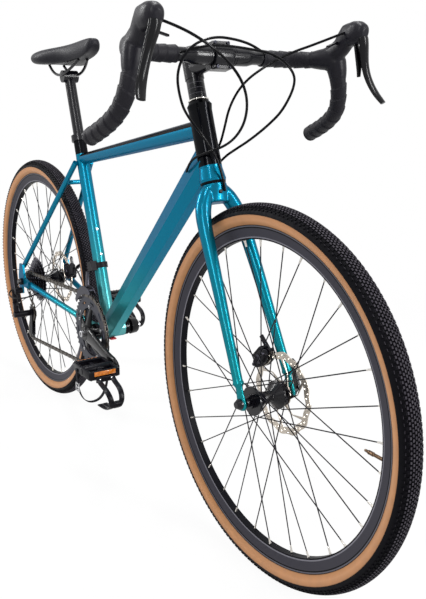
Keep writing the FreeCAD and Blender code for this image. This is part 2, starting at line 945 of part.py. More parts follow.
def make_stem():
    clamp = cylinder("stem_clamp", dim.stem_clamp_radius, dim.stem_clamp_height,
                     along(on_steerer(stem_bottom), steer_up))
    bore = cylinder("stem_bore", dim.steerer_radius, dim.stem_clamp_height * 2,
                    along(on_steerer(stem_bottom) - steer_up * dim.stem_clamp_height / 2, steer_up))
    middle = on_steerer(stem_middle)
    neck = cylinder("stem_neck", dim.stem_body_radius, dim.stem_length - dim.stem_front_depth / 2,
                    along(middle, stem_ahead))
    front_turn = along(bar_middle - stem_ahead * dim.stem_front_depth / 2, stem_ahead)
    front = block("stem_front", dim.stem_front_height, dim.stem_front_width, dim.stem_front_depth, front_turn)
    node("stem", cut("stem", fuse("stem_solid", clamp, neck, front), bore, bar_room("stem_bar_room")))
    plate_middle = bar_middle + stem_ahead * (dim.seat_gap + dim.stem_front_depth / 2)
    plate = block("faceplate_block", dim.stem_front_height, dim.stem_front_width,
                  dim.stem_front_depth, along(plate_middle, stem_ahead))
    trim = block("faceplate_trim", dim.bar_clamp_radius, dim.faceplate_window,
                 dim.stem_front_depth * 4, along(plate_middle, stem_ahead))
    plate = cut("faceplate", plate, bar_room("plate_bar_room"), trim)
    up = V(-stem_ahead.z, 0, stem_ahead.x)
    bolts = []
    for vertical in (-1, 1):
        for side in (-1, 1):
            reach = dim.stem_front_height / 2 - dim.bolt_head_radius
            place = (plate_middle + stem_ahead * dim.stem_front_depth / 2 + up * (vertical * reach)
                     + LEFT * (side * dim.faceplate_bolt_half))
            bolts.append(cylinder("faceplate_bolt", dim.bolt_head_radius, dim.bolt_head_height,
                                  along(place, stem_ahead)))
    node("stem_faceplate", group("stem_faceplate", plate, *bolts))


def bar_room(name):
    start = sideways(bar_middle, -dim.bar_clamp_width / 2)
    return cylinder(name, dim.bar_clamp_radius, dim.bar_clamp_width, along(start, LEFT))


def bar_side_points(side):
    """Route of one side of the bar's centre line, from the tape's start to its end."""
    def place(ahead, spread, drop):
        return bar_middle + V(ahead, side * spread, -drop)
    return [
        place(0, dim.tape_start, 0),
        place(0, dim.bar_top_spread, 0),
        place(dim.bar_reach, dim.bar_hood_spread, 0),
        place(dim.bar_hook_ahead, dim.bar_hook_spread, dim.bar_hook_drop),
        place(dim.bar_turn_ahead, dim.bar_turn_spread, dim.bar_turn_drop),
        place(-dim.bar_end_behind, dim.bar_end_spread, dim.bar_end_drop),
    ]


def make_handlebar():
    right = bar_side_points(-1)
    left = bar_side_points(1)
    sides = [swept("bar_right", right, dim.bar_radius), swept("bar_left", left, dim.bar_radius)]
    start = sideways(bar_middle, -dim.tape_start)
    middle = cylinder("bar_middle", dim.bar_radius, dim.tape_start * 2, along(start, LEFT))
    node("handlebar", fuse("handlebar", middle, bar_room("bar_clamp"), *sides))
    pieces = []
    for name, points, bar in (("right", right, sides[0]), ("left", left, sides[1])):
        tape = swept("tape_solid_" + name, points, dim.tape_radius)
        pieces.append(cut("tape_" + name, tape, bar))
        out = V(points[-1] - points[-2]).normalize()
        pieces.append(cylinder("plug_" + name, dim.plug_radius, dim.plug_length, along(points[-1], out)))
    node("bar_tape", group("bar_tape", *pieces))


HOOD_SHARES = ((0, 0.3), (0, 0.5), (0.5, 0.6), (0.72, 0.94), (0.82, 1), (0.94, 0.98), (1, 0.93), (1, 0.86),
               (0.86, 0.78), (0.62, 0.5), (0.52, 0.2), (0.45, 0.02), (0.3, 0.02))


def hood_foot(side):
    ahead = dim.bar_reach + dim.hood_rear_place
    return bar_middle + V(ahead, side * dim.bar_hood_spread, -dim.hood_base_drop)


def make_hoods():
    hoods = []
    for side, name in ((-1, "right"), (1, "left")):
        points = [(dim.hood_length * a, dim.hood_height * b) for a, b in HOOD_SHARES]
        plain = plate_body("hood_plain_" + name, points, dim.hood_width, at(hood_foot(side)))
        round_hood = rounded("hood_round_" + name, plain, dim.hood_round / 2)
        tape = swept("hood_tape_room_" + name, bar_side_points(side), dim.tape_radius)
        hoods.append(cut("hood_" + name, round_hood, tape))
    node("brake_hoods", group("brake_hoods", *hoods))


def lever_pivot(side):
    ahead = dim.bar_reach + dim.lever_pivot_ahead
    return bar_middle + V(ahead, side * dim.bar_hood_spread, dim.lever_pivot_rise)


def make_lever(side, name):
    pivot = lever_pivot(side)
    half_width = LEFT * (dim.lever_root_width / 2)
    tip_half = LEFT * (dim.lever_tip_width / 2)
    root_depth = AHEAD * (dim.lever_root_depth / 2)
    tip_depth = AHEAD * (dim.lever_tip_depth / 2)
    out = LEFT * (side * dim.lever_tip_spread)
    tip = pivot + V(dim.lever_tip_ahead, 0, -dim.lever_tip_drop) + out
    middle = pivot + V(0, 0, -dim.lever_tip_drop / 2) + out * dim.lever_bend_share
    blade = lofted("lever_" + name, [
        rectangle(pivot + UP * (dim.lever_root_height / 2), half_width, root_depth),
        rectangle(pivot - UP * (dim.lever_root_height / 2), half_width, root_depth),
        rectangle(middle, tip_half, tip_depth),
        rectangle(tip, tip_half, tip_depth),
    ])
    pin_length = dim.lever_root_width + dim.lever_pin_stub * 2
    pin = cylinder("lever_pin_" + name, dim.lever_pin_radius, pin_length,
                   along(pivot - LEFT * (pin_length / 2), LEFT))
    node("brake_lever_" + name, fuse("brake_lever_" + name, blade, pin))
    make_paddle(side, name, pivot)


def make_paddle(side, name, pivot):
    """The shift paddle behind the brake blade, on a short barrel that points at the blade."""
    back = dim.lever_root_depth / 2 + dim.seat_gap
    root = pivot + V(-back - dim.paddle_behind, 0, -dim.lever_root_height)
    end = root + V(0, side * dim.paddle_width / 2, -dim.paddle_length)
    thick = AHEAD * (dim.paddle_thickness / 2)
    plate = lofted("paddle_plate_" + name, [
        rectangle(root, LEFT * (dim.paddle_width / 4), thick),
        rectangle(end, LEFT * (dim.paddle_width / 2), thick),
    ])
    barrel = cylinder("paddle_barrel_" + name, dim.paddle_width / 4, dim.paddle_behind, along(root, AHEAD))
    node("shift_paddle_" + name, fuse("shift_paddle_" + name, plate, barrel))


def thumb_pivot(side):
    inner = dim.hood_width / 2 + dim.seat_gap + dim.thumb_thickness / 2
    return hood_foot(side) + V(dim.hood_length * dim.thumb_ahead_share, -side * inner,
                                 dim.hood_height * dim.thumb_rise_share)


def make_levers():
    for side, name in ((-1, "right"), (1, "left")):
        make_lever(side, name)
        start = thumb_pivot(side)
        end = start + V(dim.thumb_width, -side * dim.thumb_length, -dim.thumb_width)
        half = AHEAD * (dim.thumb_width / 2)
        blade = lofted("thumb_blade_" + name, [
            rectangle(start, half, UP * (dim.thumb_thickness / 3)),
            rectangle(end, half, UP * (dim.thumb_thickness / 3)),
        ])
        barrel = cylinder("thumb_barrel_" + name, dim.thumb_thickness / 2, dim.thumb_width,
                          along(start - half, AHEAD))
        node("shift_thumb_" + name, fuse("shift_thumb_" + name, blade, barrel))


# Wheels

def make_tyre(name, axle):
    outer = dim.tyre_radius
    half = dim.tyre_width / 2
    bead = dim.rim_width / 2 - dim.rim_well - dim.seat_gap
    wall = dim.tyre_wall
    shoulder = outer - dim.tread_shoulder
    side = sidewall_radius
    tyre = turned_body(name + "_tyre_body", [
        (outer, -dim.tread_half / 2),
        (outer, dim.tread_half / 2),
        (shoulder, dim.tread_half),
        (side, half),
        (rim_flange_radius, bead),
        (bead_radius, bead),
        (bead_radius, bead - wall),
        (side, half - wall),
        (shoulder - wall, 0),
        (side, wall - half),
        (bead_radius, wall - bead),
        (bead_radius, -bead),
        (rim_flange_radius, -bead),
        (side, -half),
        (shoulder, -dim.tread_half),
    ], at(axle))
    start = axle + AHEAD * (rim_inner_radius - dim.seat_gap)
    valve = cylinder(name + "_valve", dim.valve_radius, dim.valve_length, along(start, -AHEAD))
    node(name + "_tyre", group(name + "_tyre", tyre, valve))


def make_rim(name, axle):
    half = dim.rim_width / 2
    lip = half - dim.rim_well
    inner = dim.rim_inner_width / 2
    shelf = bead_radius - dim.seat_gap
    rim = turned_body(name + "_rim_body", [
        (rim_flange_radius - dim.seat_gap, half),
        (rim_inner_radius, inner),
        (rim_inner_radius, -inner),
        (rim_flange_radius - dim.seat_gap, -half),
        (rim_flange_radius - dim.seat_gap, -lip),
        (shelf, -lip),
        (shelf, dim.rim_shelf - lip),
        (rim_inner_radius + dim.rim_wall, dim.rim_wall - inner),
        (rim_inner_radius + dim.rim_wall, inner - dim.rim_wall),
        (shelf, lip - dim.rim_shelf),
        (shelf, lip),
        (rim_flange_radius - dim.seat_gap, lip),
    ], at(axle))
    node(name + "_rim", rim)


def prism(start, end, radius):
    """A slim six-sided rod from start to end."""
    run = end - start
    turn = FreeCAD.Rotation(UP, run)
    ring = [start + turn.multVec(V(radius * math.cos(i * math.pi / 3), radius * math.sin(i * math.pi / 3), 0))
            for i in range(6)]
    return Part.Face(Part.makePolygon(ring + ring[:1])).extrude(run)


def make_spokes(name, axle, right, left):
    """Spokes laced three-cross: neighbours on a flange lean opposite ways."""
    spokes = []
    count = int(dim.spoke_count)
    step = 360 / count
    flange = dim.hub_flange_radius + dim.spoke_radius + dim.seat_gap
    rim = rim_inner_radius - dim.seat_gap
    for i in range(count):
        side = 1 if i % 2 else -1
        lean = dim.spoke_lean_angle * (1 if (i // 2) % 2 else -1)
        reach = left if side > 0 else right
        hub_point = axle + turned(step * i + lean) * flange + LEFT * (side * reach)
        rim_point = axle + turned(step * i + step / 2) * rim + LEFT * (side * dim.spoke_rim_offset)
        spokes.append(prism(hub_point, rim_point, dim.spoke_radius))
    node(name + "_spokes", shaped(name + "_spokes", Part.makeCompound(spokes)))


def make_hub(name, axle, right, left, rotor_place, right_end, left_end):
    bore = dim.axle_radius + dim.running_clearance
    flange = dim.hub_flange_radius
    half = dim.hub_flange_thickness / 2
    barrel = dim.hub_barrel_radius
    rotor_inner = rotor_place - dim.rotor_thickness / 2 - dim.running_clearance
    hub = turned_body(name + "_hub_body", [
        (bore, -right_end),
        (barrel, -right_end),
        (barrel, -right - half),
        (flange, -right - half),
        (flange, -right + half),
        (dim.hub_waist_radius + half, -right / 3),
        (dim.hub_waist_radius + half, left / 3),
        (flange, left - half),
        (flange, left + half),
        (barrel, left + half * 3),
        (dim.rotor_hub_radius, rotor_inner - half),
        (dim.rotor_hub_radius, rotor_inner),
        (barrel - half, rotor_inner),
        (barrel - half, left_end),
        (bore, left_end),
    ], at(axle))
    node(name + "_hub", hub)


def make_rotor(name, axle, place):
    middle = sideways(axle, float(place))
    inner = dim.rotor_radius - dim.rotor_track
    thick = dim.rotor_thickness

    def disc(label, radius):
        return cylinder(name + label, radius, thick, along(middle - LEFT * thick / 2, LEFT))

    hole_radius = dim.hub_barrel_radius
    track = cut(name + "_track", disc("_disc", dim.rotor_radius), disc("_track_hole", inner))
    carrier = disc("_carrier", dim.rotor_hub_radius)
    arms = []
    for i in range(int(dim.rotor_arm_count)):
        angle = 360 / dim.rotor_arm_count * i
        out = turned(angle)
        swept_out = turned(angle + dim.rotor_sweep_angle)
        start = middle + out * (dim.rotor_hub_radius - dim.rotor_arm_width / 2)
        end = middle + swept_out * (inner + dim.rotor_arm_width / 2)
        run = end - start
        arm = block(name + "_arm_%d" % i, dim.rotor_arm_width, thick, run.Length,
                    FreeCAD.Placement((start + end) / 2, FreeCAD.Rotation(LEFT, 90 - math.degrees(
                        math.atan2(run.z, run.x)))))
        arms.append(arm)
    solid = fuse(name + "_rotor_solid", track, carrier, *arms)
    node(name + "_rotor", cut(name + "_rotor", solid, disc("_bore", hole_radius)))


def make_axle(name, axle, hub_width, tip):
    """Skewer and axle: a rod through the hub with a locknut each side and the skewer's nut on the right."""
    half = hub_width / 2
    lock = dim.locknut_radius
    rod = dim.axle_radius
    outside = half + tip
    body = turned_body(name + "_axle_body", [
        (0, -outside - dim.skewer_nut_length),
        (dim.skewer_nut_radius - dim.bolt_head_radius, -outside - dim.skewer_nut_length),
        (dim.skewer_nut_radius, -outside - dim.skewer_nut_length / 2),
        (dim.skewer_nut_radius, -outside),
        (rod, -outside),
        (rod, -half),
        (lock, -half),
        (lock, dim.locknut_length - half),
        (rod, dim.locknut_length - half),
        (rod, half - dim.locknut_length),
        (lock, half - dim.locknut_length),
        (lock, half),
        (rod, half),
        (rod, outside),
        (dim.skewer_nut_radius, outside),
        (dim.skewer_nut_radius, outside + dim.skewer_nut_length / 2),
        (rod, outside + dim.skewer_nut_length / 2),
        (rod, outside + dim.skewer_nut_length),
        (0, outside + dim.skewer_nut_length),
    ], at(axle))
    node(name + "_axle", body)
    barrel_radius = dim.qr_thickness / 2 + dim.seat_gap
    pivot = sideways(axle, float(outside + dim.skewer_nut_length + barrel_radius + dim.seat_gap))
    lever_up = steer_up if name == "front" else seat_up
    lever = plate_body(name + "_qr_plate", [
        (-dim.qr_width / 2, 0),
        (dim.qr_width / 2, 0),
        (dim.qr_width / 2, dim.qr_length),
        (0, dim.qr_length + dim.qr_width / 2),
        (-dim.qr_width / 2, dim.qr_length),
    ], dim.qr_thickness, along(pivot, lever_up))
    across = V(lever_up.z, 0, -lever_up.x)
    barrel = cylinder(name + "_qr_barrel", barrel_radius, dim.qr_width,
                      along(pivot - across * dim.qr_width / 2, across))
    node(name + "_qr_lever", fuse(name + "_qr_lever", lever, barrel))


def make_wheels():
    for name, axle, right, left, rotor, width in (
            ("front", front_axle, dim.front_flange_right, dim.front_flange_left, dim.front_rotor_place,
             dim.hub_width_front),
            ("rear", rear_axle, dim.rear_flange_right, dim.rear_flange_left, dim.rear_rotor_place,
             dim.hub_width_rear)):
        make_tyre(name, axle)
        make_rim(name, axle)
        make_spokes(name, axle, right, left)
        end = width / 2 - dim.locknut_length - dim.seat_gap
        right_end = end if name == "front" else dim.largest_cog_place - dim.seat_gap - dim.cog_thickness / 2
        make_hub(name, axle, right, left, rotor, right_end, end)
        make_rotor(name, axle, rotor)
    make_axle("front", front_axle, dim.hub_width_front, dim.fork_tip_thickness)
    make_axle("rear", rear_axle, dim.hub_width_rear, dim.dropout_thickness)


# Disc brakes

def caliper_frame(name):
    angle = dim.front_caliper_angle if name == "front" else dim.rear_caliper_angle
    axle = front_axle if name == "front" else rear_axle
    place = dim.front_rotor_place if name == "front" else dim.rear_rotor_place
    out = turned(angle)
    return axle, out, sideways(axle + out * dim.caliper_reach, float(place))


def make_caliper(name, carrier_start, carrier_end):
    axle, out, middle = caliper_frame(name)
    turn = along(middle, out)
    shell = block(name + "_caliper_block", dim.caliper_length, dim.caliper_width, dim.caliper_depth, turn)
    shell = rounded(name + "_caliper_round", shell, dim.caliper_round)
    slot_middle = middle - out * (dim.caliper_depth / 2)
    slot = block(name + "_caliper_slot", dim.caliper_length * 2, dim.caliper_slot,
                 dim.caliper_depth + dim.rotor_track, along(slot_middle, out))
    across = V(-out.z, 0, out.x)
    carrier_run = carrier_end - carrier_start
    posts = []
    for end in (-1, 1):
        foot = middle + across * (end * dim.caliper_length / 4) + LEFT * (dim.caliper_width / 4)
        share = (foot - carrier_start).dot(carrier_run) / carrier_run.Length ** 2
        seat = carrier_start + carrier_run * share
        run = seat - foot
        posts.append(cylinder(name + "_post", dim.post_radius, run.Length, along(foot, run)))
    return fuse(name + "_caliper_solid", shell, *posts), slot


def make_calipers():
    top, end = blade_ends(1)
    solid, slot = make_caliper("front", end, top)
    run = end - top
    room = cone("front_post_room", dim.blade_radius_top, dim.blade_radius_end, run.Length, along(top, run))
    node("front_caliper", cut("front_caliper", solid, slot, room))
    points = chainstay_points(1)
    solid, slot = make_caliper("rear", points[2], points[1])
    run = points[1] - points[2]
    room = cylinder("rear_post_room", dim.chainstay_radius, run.Length, along(points[2], run))
    node("rear_caliper", cut("rear_caliper", solid, slot, room))
    for name in ("front", "rear"):
        axle, out, middle = caliper_frame(name)
        pivot = middle + out * dim.arm_pivot_rise
        pivot += LEFT * (dim.caliper_width / 2 + dim.seat_gap + dim.arm_thickness / 2)
        half = dim.arm_width / 2
        arm = plate_body(name + "_arm_body", [
            (-half, 0),
            (half, 0),
            (half * dim.arm_taper_share, dim.arm_length),
            (-half * dim.arm_taper_share, dim.arm_length),
        ], dim.arm_thickness, along(pivot, out))
        boss = cylinder(name + "_arm_boss", half, dim.arm_thickness + dim.arm_boss_rise,
                        along(pivot - LEFT * (dim.arm_thickness / 2), LEFT))
        node(name + "_brake_arm", fuse(name + "_brake_arm", arm, boss))


# Drivetrain

TOOTH_SHARES = (0, 0.34, 0.67)


def sprocket(place, teeth, thickness, hole):
    """A toothed disc at the origin's side, with a round hole."""
    radius = pitch_radius(teeth)
    ring = []
    for i in range(teeth):
        for share, reach in zip(TOOTH_SHARES, (-dim.tooth_root, -dim.tooth_root, dim.tooth_tip)):
            ring.append(turned((i + share) * 360 / teeth) * (radius + reach)
                        + LEFT * (place - thickness / 2))
    disc = Part.Face(Part.makePolygon(ring + ring[:1]))
    bore = Part.makeCylinder(hole, thickness * 2, LEFT * (place - thickness), LEFT)
    return disc.extrude(LEFT * thickness).cut(bore)


def make_cassette():
    cogs = []
    for i, teeth in enumerate(COG_TEETH_COUNTS):
        cogs.append(sprocket(-cog_place(i), teeth, dim.cog_thickness, dim.freehub_radius))
    start = dim.largest_cog_place - dim.cog_thickness / 2
    length = dim.hub_width_rear / 2 - dim.locknut_length - dim.seat_gap - start
    freehub = Part.makeCylinder(dim.freehub_radius, length, V(0, -start - length, 0), LEFT)
    bore_radius = dim.axle_radius + dim.running_clearance
    bore = Part.makeCylinder(bore_radius, length * 3, V(0, -start - length * 2, 0), LEFT)
    cassette = shaped("cassette", Part.makeCompound(cogs + [freehub.cut(bore)]))
    cassette.Placement = at(rear_axle)
    node("cassette", cassette)


def make_chainrings():
    rings = []
    for place, teeth in ((outer_ring_place, dim.outer_teeth_count),
                         (dim.inner_ring_place, dim.inner_teeth_count)):
        hole = pitch_radius(teeth) - dim.ring_land
        rings.append(sprocket(-place, int(teeth), dim.ring_thickness, hole))
    chainrings = shaped("chainrings", Part.makeCompound(rings))
    chainrings.Placement = at(bb)
    node("chainrings", chainrings)


def crank_outline(reach):
    waist = dim.crank_waist / 2
    boss = dim.crank_boss_radius
    end = dim.crank_end_radius
    return [
        (-boss, -boss / 2),
        (-boss / 2, -boss),
        (boss / 2, -boss),
        (boss * 2, -waist),
        (reach, -end),
        (reach + end, -end / 2),
        (reach + end, end / 2),
        (reach, end),
        (boss * 2, waist),
        (boss / 2, boss),
        (-boss / 2, boss),
        (-boss, boss / 2),
    ]


def make_cranks():
    thick = dim.crank_thickness
    for side, name, turn in ((-1, "right", dim.crank_angle), (1, "left", dim.crank_angle + 180)):
        middle = sideways(bb, float(side * (dim.crank_inner_place + thick / 2)))
        placement = FreeCAD.Placement(middle, FreeCAD.Rotation(LEFT, -float(turn)))
        arm = plate_body("crank_body_" + name, crank_outline(dim.crank_length), thick, placement)
        arm = rounded("crank_round_" + name, arm, dim.bolt_head_height / 2)
        axle_start = middle + turned(turn) * dim.crank_length
        spindle_length = dim.pedal_place + dim.pedal_width - dim.crank_inner_place - thick / 2
        pedal_axle = cylinder("pedal_axle_" + name, dim.pedal_spindle_radius, spindle_length,
                              along(axle_start, LEFT * side))
        pieces = [arm, pedal_axle]
        if side < 0:
            length = dim.crank_inner_place * 2
            pieces.append(cylinder("bb_spindle", dim.spindle_radius, length,
                                   along(sideways(bb, -length / 2), LEFT)))
            pieces += spider_arms(turn)
        node("crank_arm_" + name, fuse("crank_arm_" + name, *pieces))


def spider_arms(turn):
    """Arms that carry the rings, flush between the two rings' inner edges."""
    arms = []
    outer_hole = pitch_radius(dim.outer_teeth_count) - dim.ring_land
    gap = outer_ring_place - dim.ring_thickness / 2 - dim.inner_ring_place - dim.ring_thickness / 2
    place = (outer_ring_place + dim.inner_ring_place) / 2
    reach = outer_hole + dim.ring_land / 2
    for i in range(int(dim.spider_arm_count)):
        out = turned(turn + 360 / dim.spider_arm_count * (i + 0.5))
        middle = sideways(bb + out * (reach / 2), -float(place))
        arms.append(block("spider_arm_%d" % i, dim.spider_arm_width, gap - dim.running_clearance * 2, reach,
                          along(middle, out)))
    hub_length = dim.crank_inner_place - dim.inner_ring_place
    arms.append(cylinder("spider_hub", dim.crank_boss_radius + dim.tube_wall, hub_length,
                         along(sideways(bb, -float(dim.crank_inner_place)), LEFT)))
    return arms


def tangent(first, first_radius, first_turn, second, second_radius, second_turn):
    """Ends of the straight run that leaves one wheel and meets the next, turns +1 or -1."""
    run = second - first
    angle = math.atan2(run.z, run.x)
    lean = math.asin((first_radius * first_turn - second_radius * second_turn) / run.Length)
    out = V(math.sin(angle + lean), 0, -math.cos(angle + lean))
    return first + out * (first_radius * first_turn), second + out * (second_radius * second_turn)


def jockey_places():
    """Cage pivot, upper and lower jockey wheel, all in the mid plane."""
    upper = rear_axle + AHEAD * dim.jockey_ahead - UP * dim.jockey_below
    pivot = upper - turned(dim.cage_angle + dim.cage_pivot_angle) * dim.cage_pivot_lead
    lower = upper + turned(dim.cage_angle) * dim.cage_length
    return pivot, upper, lower


def chain_route():
    """Joint places along the chain: over the ring, round the cog, then through the two jockey wheels."""
    pivot, upper, lower = jockey_places()
    wheels = [
        (bb, pitch_radius(dim.outer_teeth_count), 1),
        (rear_axle, pitch_radius(COG_TEETH_COUNTS[DRIVEN_COG]), 1),
        (upper, pitch_radius(dim.jockey_teeth_count), -1),
        (lower, pitch_radius(dim.jockey_teeth_count), 1),
    ]
    pieces = []
    runs = [tangent(*wheels[i], *wheels[(i + 1) % 4]) for i in range(4)]
    for i, (middle, radius, turn) in enumerate(wheels):
        start = runs[i - 1][1] - middle
        end = runs[i][0] - middle
        begin = math.atan2(start.z, start.x)
        sweep = (math.atan2(end.z, end.x) - begin) * turn % (2 * math.pi)
        pieces.append(("arc", middle, radius, begin, sweep, turn))
        pieces.append(("run", runs[i][0], runs[i][1]))
    lengths = [p[2] * p[4] if p[0] == "arc" else (p[2] - p[1]).Length for p in pieces]
    count = 2 * round(sum(lengths) / dim.chain_pitch / 2)
    pitch = sum(lengths) / count
    print("chain: %d links, pitch %.3f" % (count, pitch))
    joints = []
    for i in range(count):
        place = pitch * i
        for piece, length in zip(pieces, lengths):
            if place <= length:
                break
            place -= length
        if piece[0] == "arc":
            kind, middle, radius, begin, sweep, turn = piece
            angle = begin + turn * place / radius
            joints.append((middle + V(math.cos(angle), 0, math.sin(angle)) * radius, False))
        else:
            run = V(piece[2] - piece[1]).normalize()
            free = dim.chain_pitch < place < length - dim.chain_pitch
            joints.append((piece[1] + run * place, free))
    return joints


def make_chain():
    joints = chain_route()
    solids = []
    side_shift = LEFT * -float(outer_ring_place)
    for i, (here, free) in enumerate(joints):
        ahead = joints[(i + 1) % len(joints)][0]
        run = ahead - here
        along_run = V(run).normalize()
        across = V(-along_run.z, 0, along_run.x) * (dim.plate_height / 2)
        overhang = along_run * (dim.plate_height / 2)
        place = dim.outer_plate_place if i % 2 else dim.inner_plate_place
        corners = [here - overhang, here - across, ahead - across,
                   ahead + overhang, ahead + across, here + across]
        for side in (-1, 1):
            shift = side_shift + LEFT * (side * place - (dim.plate_thickness if side < 0 else 0))
            ring = [c + shift for c in corners]
            solids.append(Part.Face(Part.makePolygon(ring + ring[:1])).extrude(LEFT * dim.plate_thickness))
        if free:
            half = LEFT * (dim.inner_plate_place - dim.running_clearance)
            solids.append(prism(here + side_shift - half, here + side_shift + half, dim.roller_radius))
    node("chain", shaped("chain", Part.makeCompound(solids)))


# Pedals

def make_pedal(side, name):
    turn = dim.crank_angle if side < 0 else dim.crank_angle + 180
    middle = bb + turned(turn) * dim.crank_length
    centre = sideways(middle, side * (dim.pedal_place + dim.pedal_width / 2))
    half_long = dim.pedal_length / 2
    rail = dim.pedal_rail
    outer = block("pedal_block_" + name, dim.pedal_length, dim.pedal_width, dim.pedal_height, at(centre))
    outer = rounded("pedal_round_" + name, outer, dim.bolt_head_height)
    windows = []
    window_long = half_long - dim.pedal_core_radius - rail
    for end in (-1, 1):
        place = centre + AHEAD * (end * (dim.pedal_core_radius + window_long / 2))
        windows.append(block("pedal_window_" + name, window_long, dim.pedal_width - rail * 2,
                             dim.pedal_height * 2, at(place)))
    bore_radius = dim.pedal_spindle_radius + dim.running_clearance
    bore = cylinder("pedal_bore_" + name, bore_radius, dim.pedal_width * 2,
                    along(centre - LEFT * dim.pedal_width, LEFT))
    body = cut("pedal_body_" + name, outer, bore, *windows)
    pieces = [body] + toe_clip(side, name, centre)
    node("pedal_" + name, group("pedal_" + name, *pieces))


def strip(name, points, width, thickness):
    """A flat strip bent along a rounded path that lies in one plane."""
    wire, radii = rounded_path(points)
    run = V(points[1] - points[0]).normalize()
    normal = (points[1] - points[0]).cross(points[2] - points[1]).normalize()
    profile = rectangle(points[0], normal * (width / 2), run.cross(normal) * (thickness / 2))
    return shaped(name, wire.makePipeShell([profile], True, False))


# Clip places ahead of the pedal's front edge and below its middle, strap places across and below.
CLIP_SHARES = ((0, -0.15), (0, 0.15), (0.75, 0.3), (1, 0.62), (0.6, 1), (-0.35, 1.05))
STRAP_SHARES = ((1, -0.14), (1, 0.45), (0.5, 1), (-0.5, 1), (-1, 0.45), (-1, -0.14))


def toe_clip(side, name, centre):
    """The clip hangs under the free pedal: a steel strip round the toe and a strap round the foot."""
    front = centre + AHEAD * (dim.pedal_length / 2 + dim.seat_gap + dim.toe_clip_thickness / 2)
    clip = strip("toe_clip_" + name, [front + V(dim.toe_clip_reach * a, 0, -dim.toe_clip_depth * b)
                                      for a, b in CLIP_SHARES], dim.toe_clip_width, dim.toe_clip_thickness)
    half = dim.pedal_width / 2 + dim.seat_gap + dim.strap_thickness / 2
    below = centre - UP * (dim.pedal_height / 2) - AHEAD * dim.pedal_core_radius * 2
    strap_points = [below + V(0, -half * a, -dim.strap_depth * b) for a, b in STRAP_SHARES]
    strap = strip("toe_strap_" + name, strap_points, dim.strap_width, dim.strap_thickness)
    return [clip, strap]


# Saddle and seatpost

def make_seatpost():
    insert = dim.seat_tube_length - dim.seatpost_insert
    length = dim.seatpost_top_place - insert
    placement = along(on_seat_tube(insert), seat_up)
    outer = cylinder("seatpost_outer", dim.seatpost_radius, length, placement)
    inner = cylinder("seatpost_inner", dim.seatpost_radius - dim.seatpost_wall,
                     length - dim.post_head_radius, placement)
    head_start = sideways(seat_top, -dim.post_head_width / 2)
    head = cylinder("seatpost_head", dim.post_head_radius, dim.post_head_width, along(head_start, LEFT))
    rails = [rail_sweep("post_rail_room_%d" % i, i) for i in (-1, 1)]
    solid = fuse("seatpost_solid", cut("seatpost_tube", outer, inner), head)
    node("seatpost", cut("seatpost", solid, *rails))


RAIL_SHARES = ((0.9, 1, 0, 1), (1, 0.55, 0, 0), (1, 0, 0.5, 0.06), (0.5, 0, 1, 1))


def rail_sweep(name, side):
    """One saddle rail; each point's shares are of the spread, the rear and front places, and the rise."""
    level = seat_top + UP * dim.rail_radius
    return swept(name, [
        sideways(level, side * dim.rail_spread * spread)
        + V(dim.rail_rear_place * rear + dim.rail_front_place * front, 0, dim.rail_rise * rise)
        for spread, rear, front, rise in RAIL_SHARES
    ], dim.rail_radius)


SADDLE_SHARES = (
    # place along, half width, height of top, height of underside, as shares
    (0, 0.62, 0.80, 0.34),
    (0.08, 0.96, 0.92, 0.16),
    (0.24, 1.00, 0.94, 0.10),
    (0.44, 0.62, 0.90, 0.10),
    (0.64, 0.34, 0.92, 0.12),
    (0.84, 0.27, 0.95, 0.20),
    (0.97, 0.24, 0.90, 0.40),
    (1, 0.14, 0.84, 0.56),
)


SADDLE_SIDE_SHARES = ((0.8, 0), (1, 0.45), (0.86, 0.74))


def saddle_section(place, half, top, under):
    """One crowned slice across the saddle: flat below, drawn-in sides, round on top."""
    foot = seat_top + V(dim.saddle_rear_place + dim.saddle_length * place, 0, dim.saddle_base_rise)
    width = dim.saddle_width / 2 * half
    high = dim.saddle_height * top
    low = dim.saddle_height * under

    def point(across, up):
        return foot + V(0, width * across, low + (high - low) * up)
    base, bulge, shoulder = SADDLE_SIDE_SHARES
    corners = [point(-base[0], base[1]), point(*base), point(*shoulder), point(-shoulder[0], shoulder[1])]
    return Part.Wire([
        Part.LineSegment(corners[0], corners[1]).toShape(),
        Part.Arc(corners[1], point(*bulge), corners[2]).toShape(),
        Part.Arc(corners[2], point(0, 1), corners[3]).toShape(),
        Part.Arc(corners[3], point(-bulge[0], bulge[1]), corners[0]).toShape(),
    ])


def make_saddle():
    pad = Part.makeLoft([saddle_section(*row) for row in SADDLE_SHARES], True, False)
    rails = [rail_sweep("saddle_rail_%d" % i, i) for i in (-1, 1)]
    trimmed = [cut("saddle_rail_cut_%d" % i, rail, shaped("rail_trim_%d" % i, pad))
               for i, rail in enumerate(rails)]
    node("saddle", group("saddle", shaped("saddle_pad", pad), *trimmed))


# Derailleurs

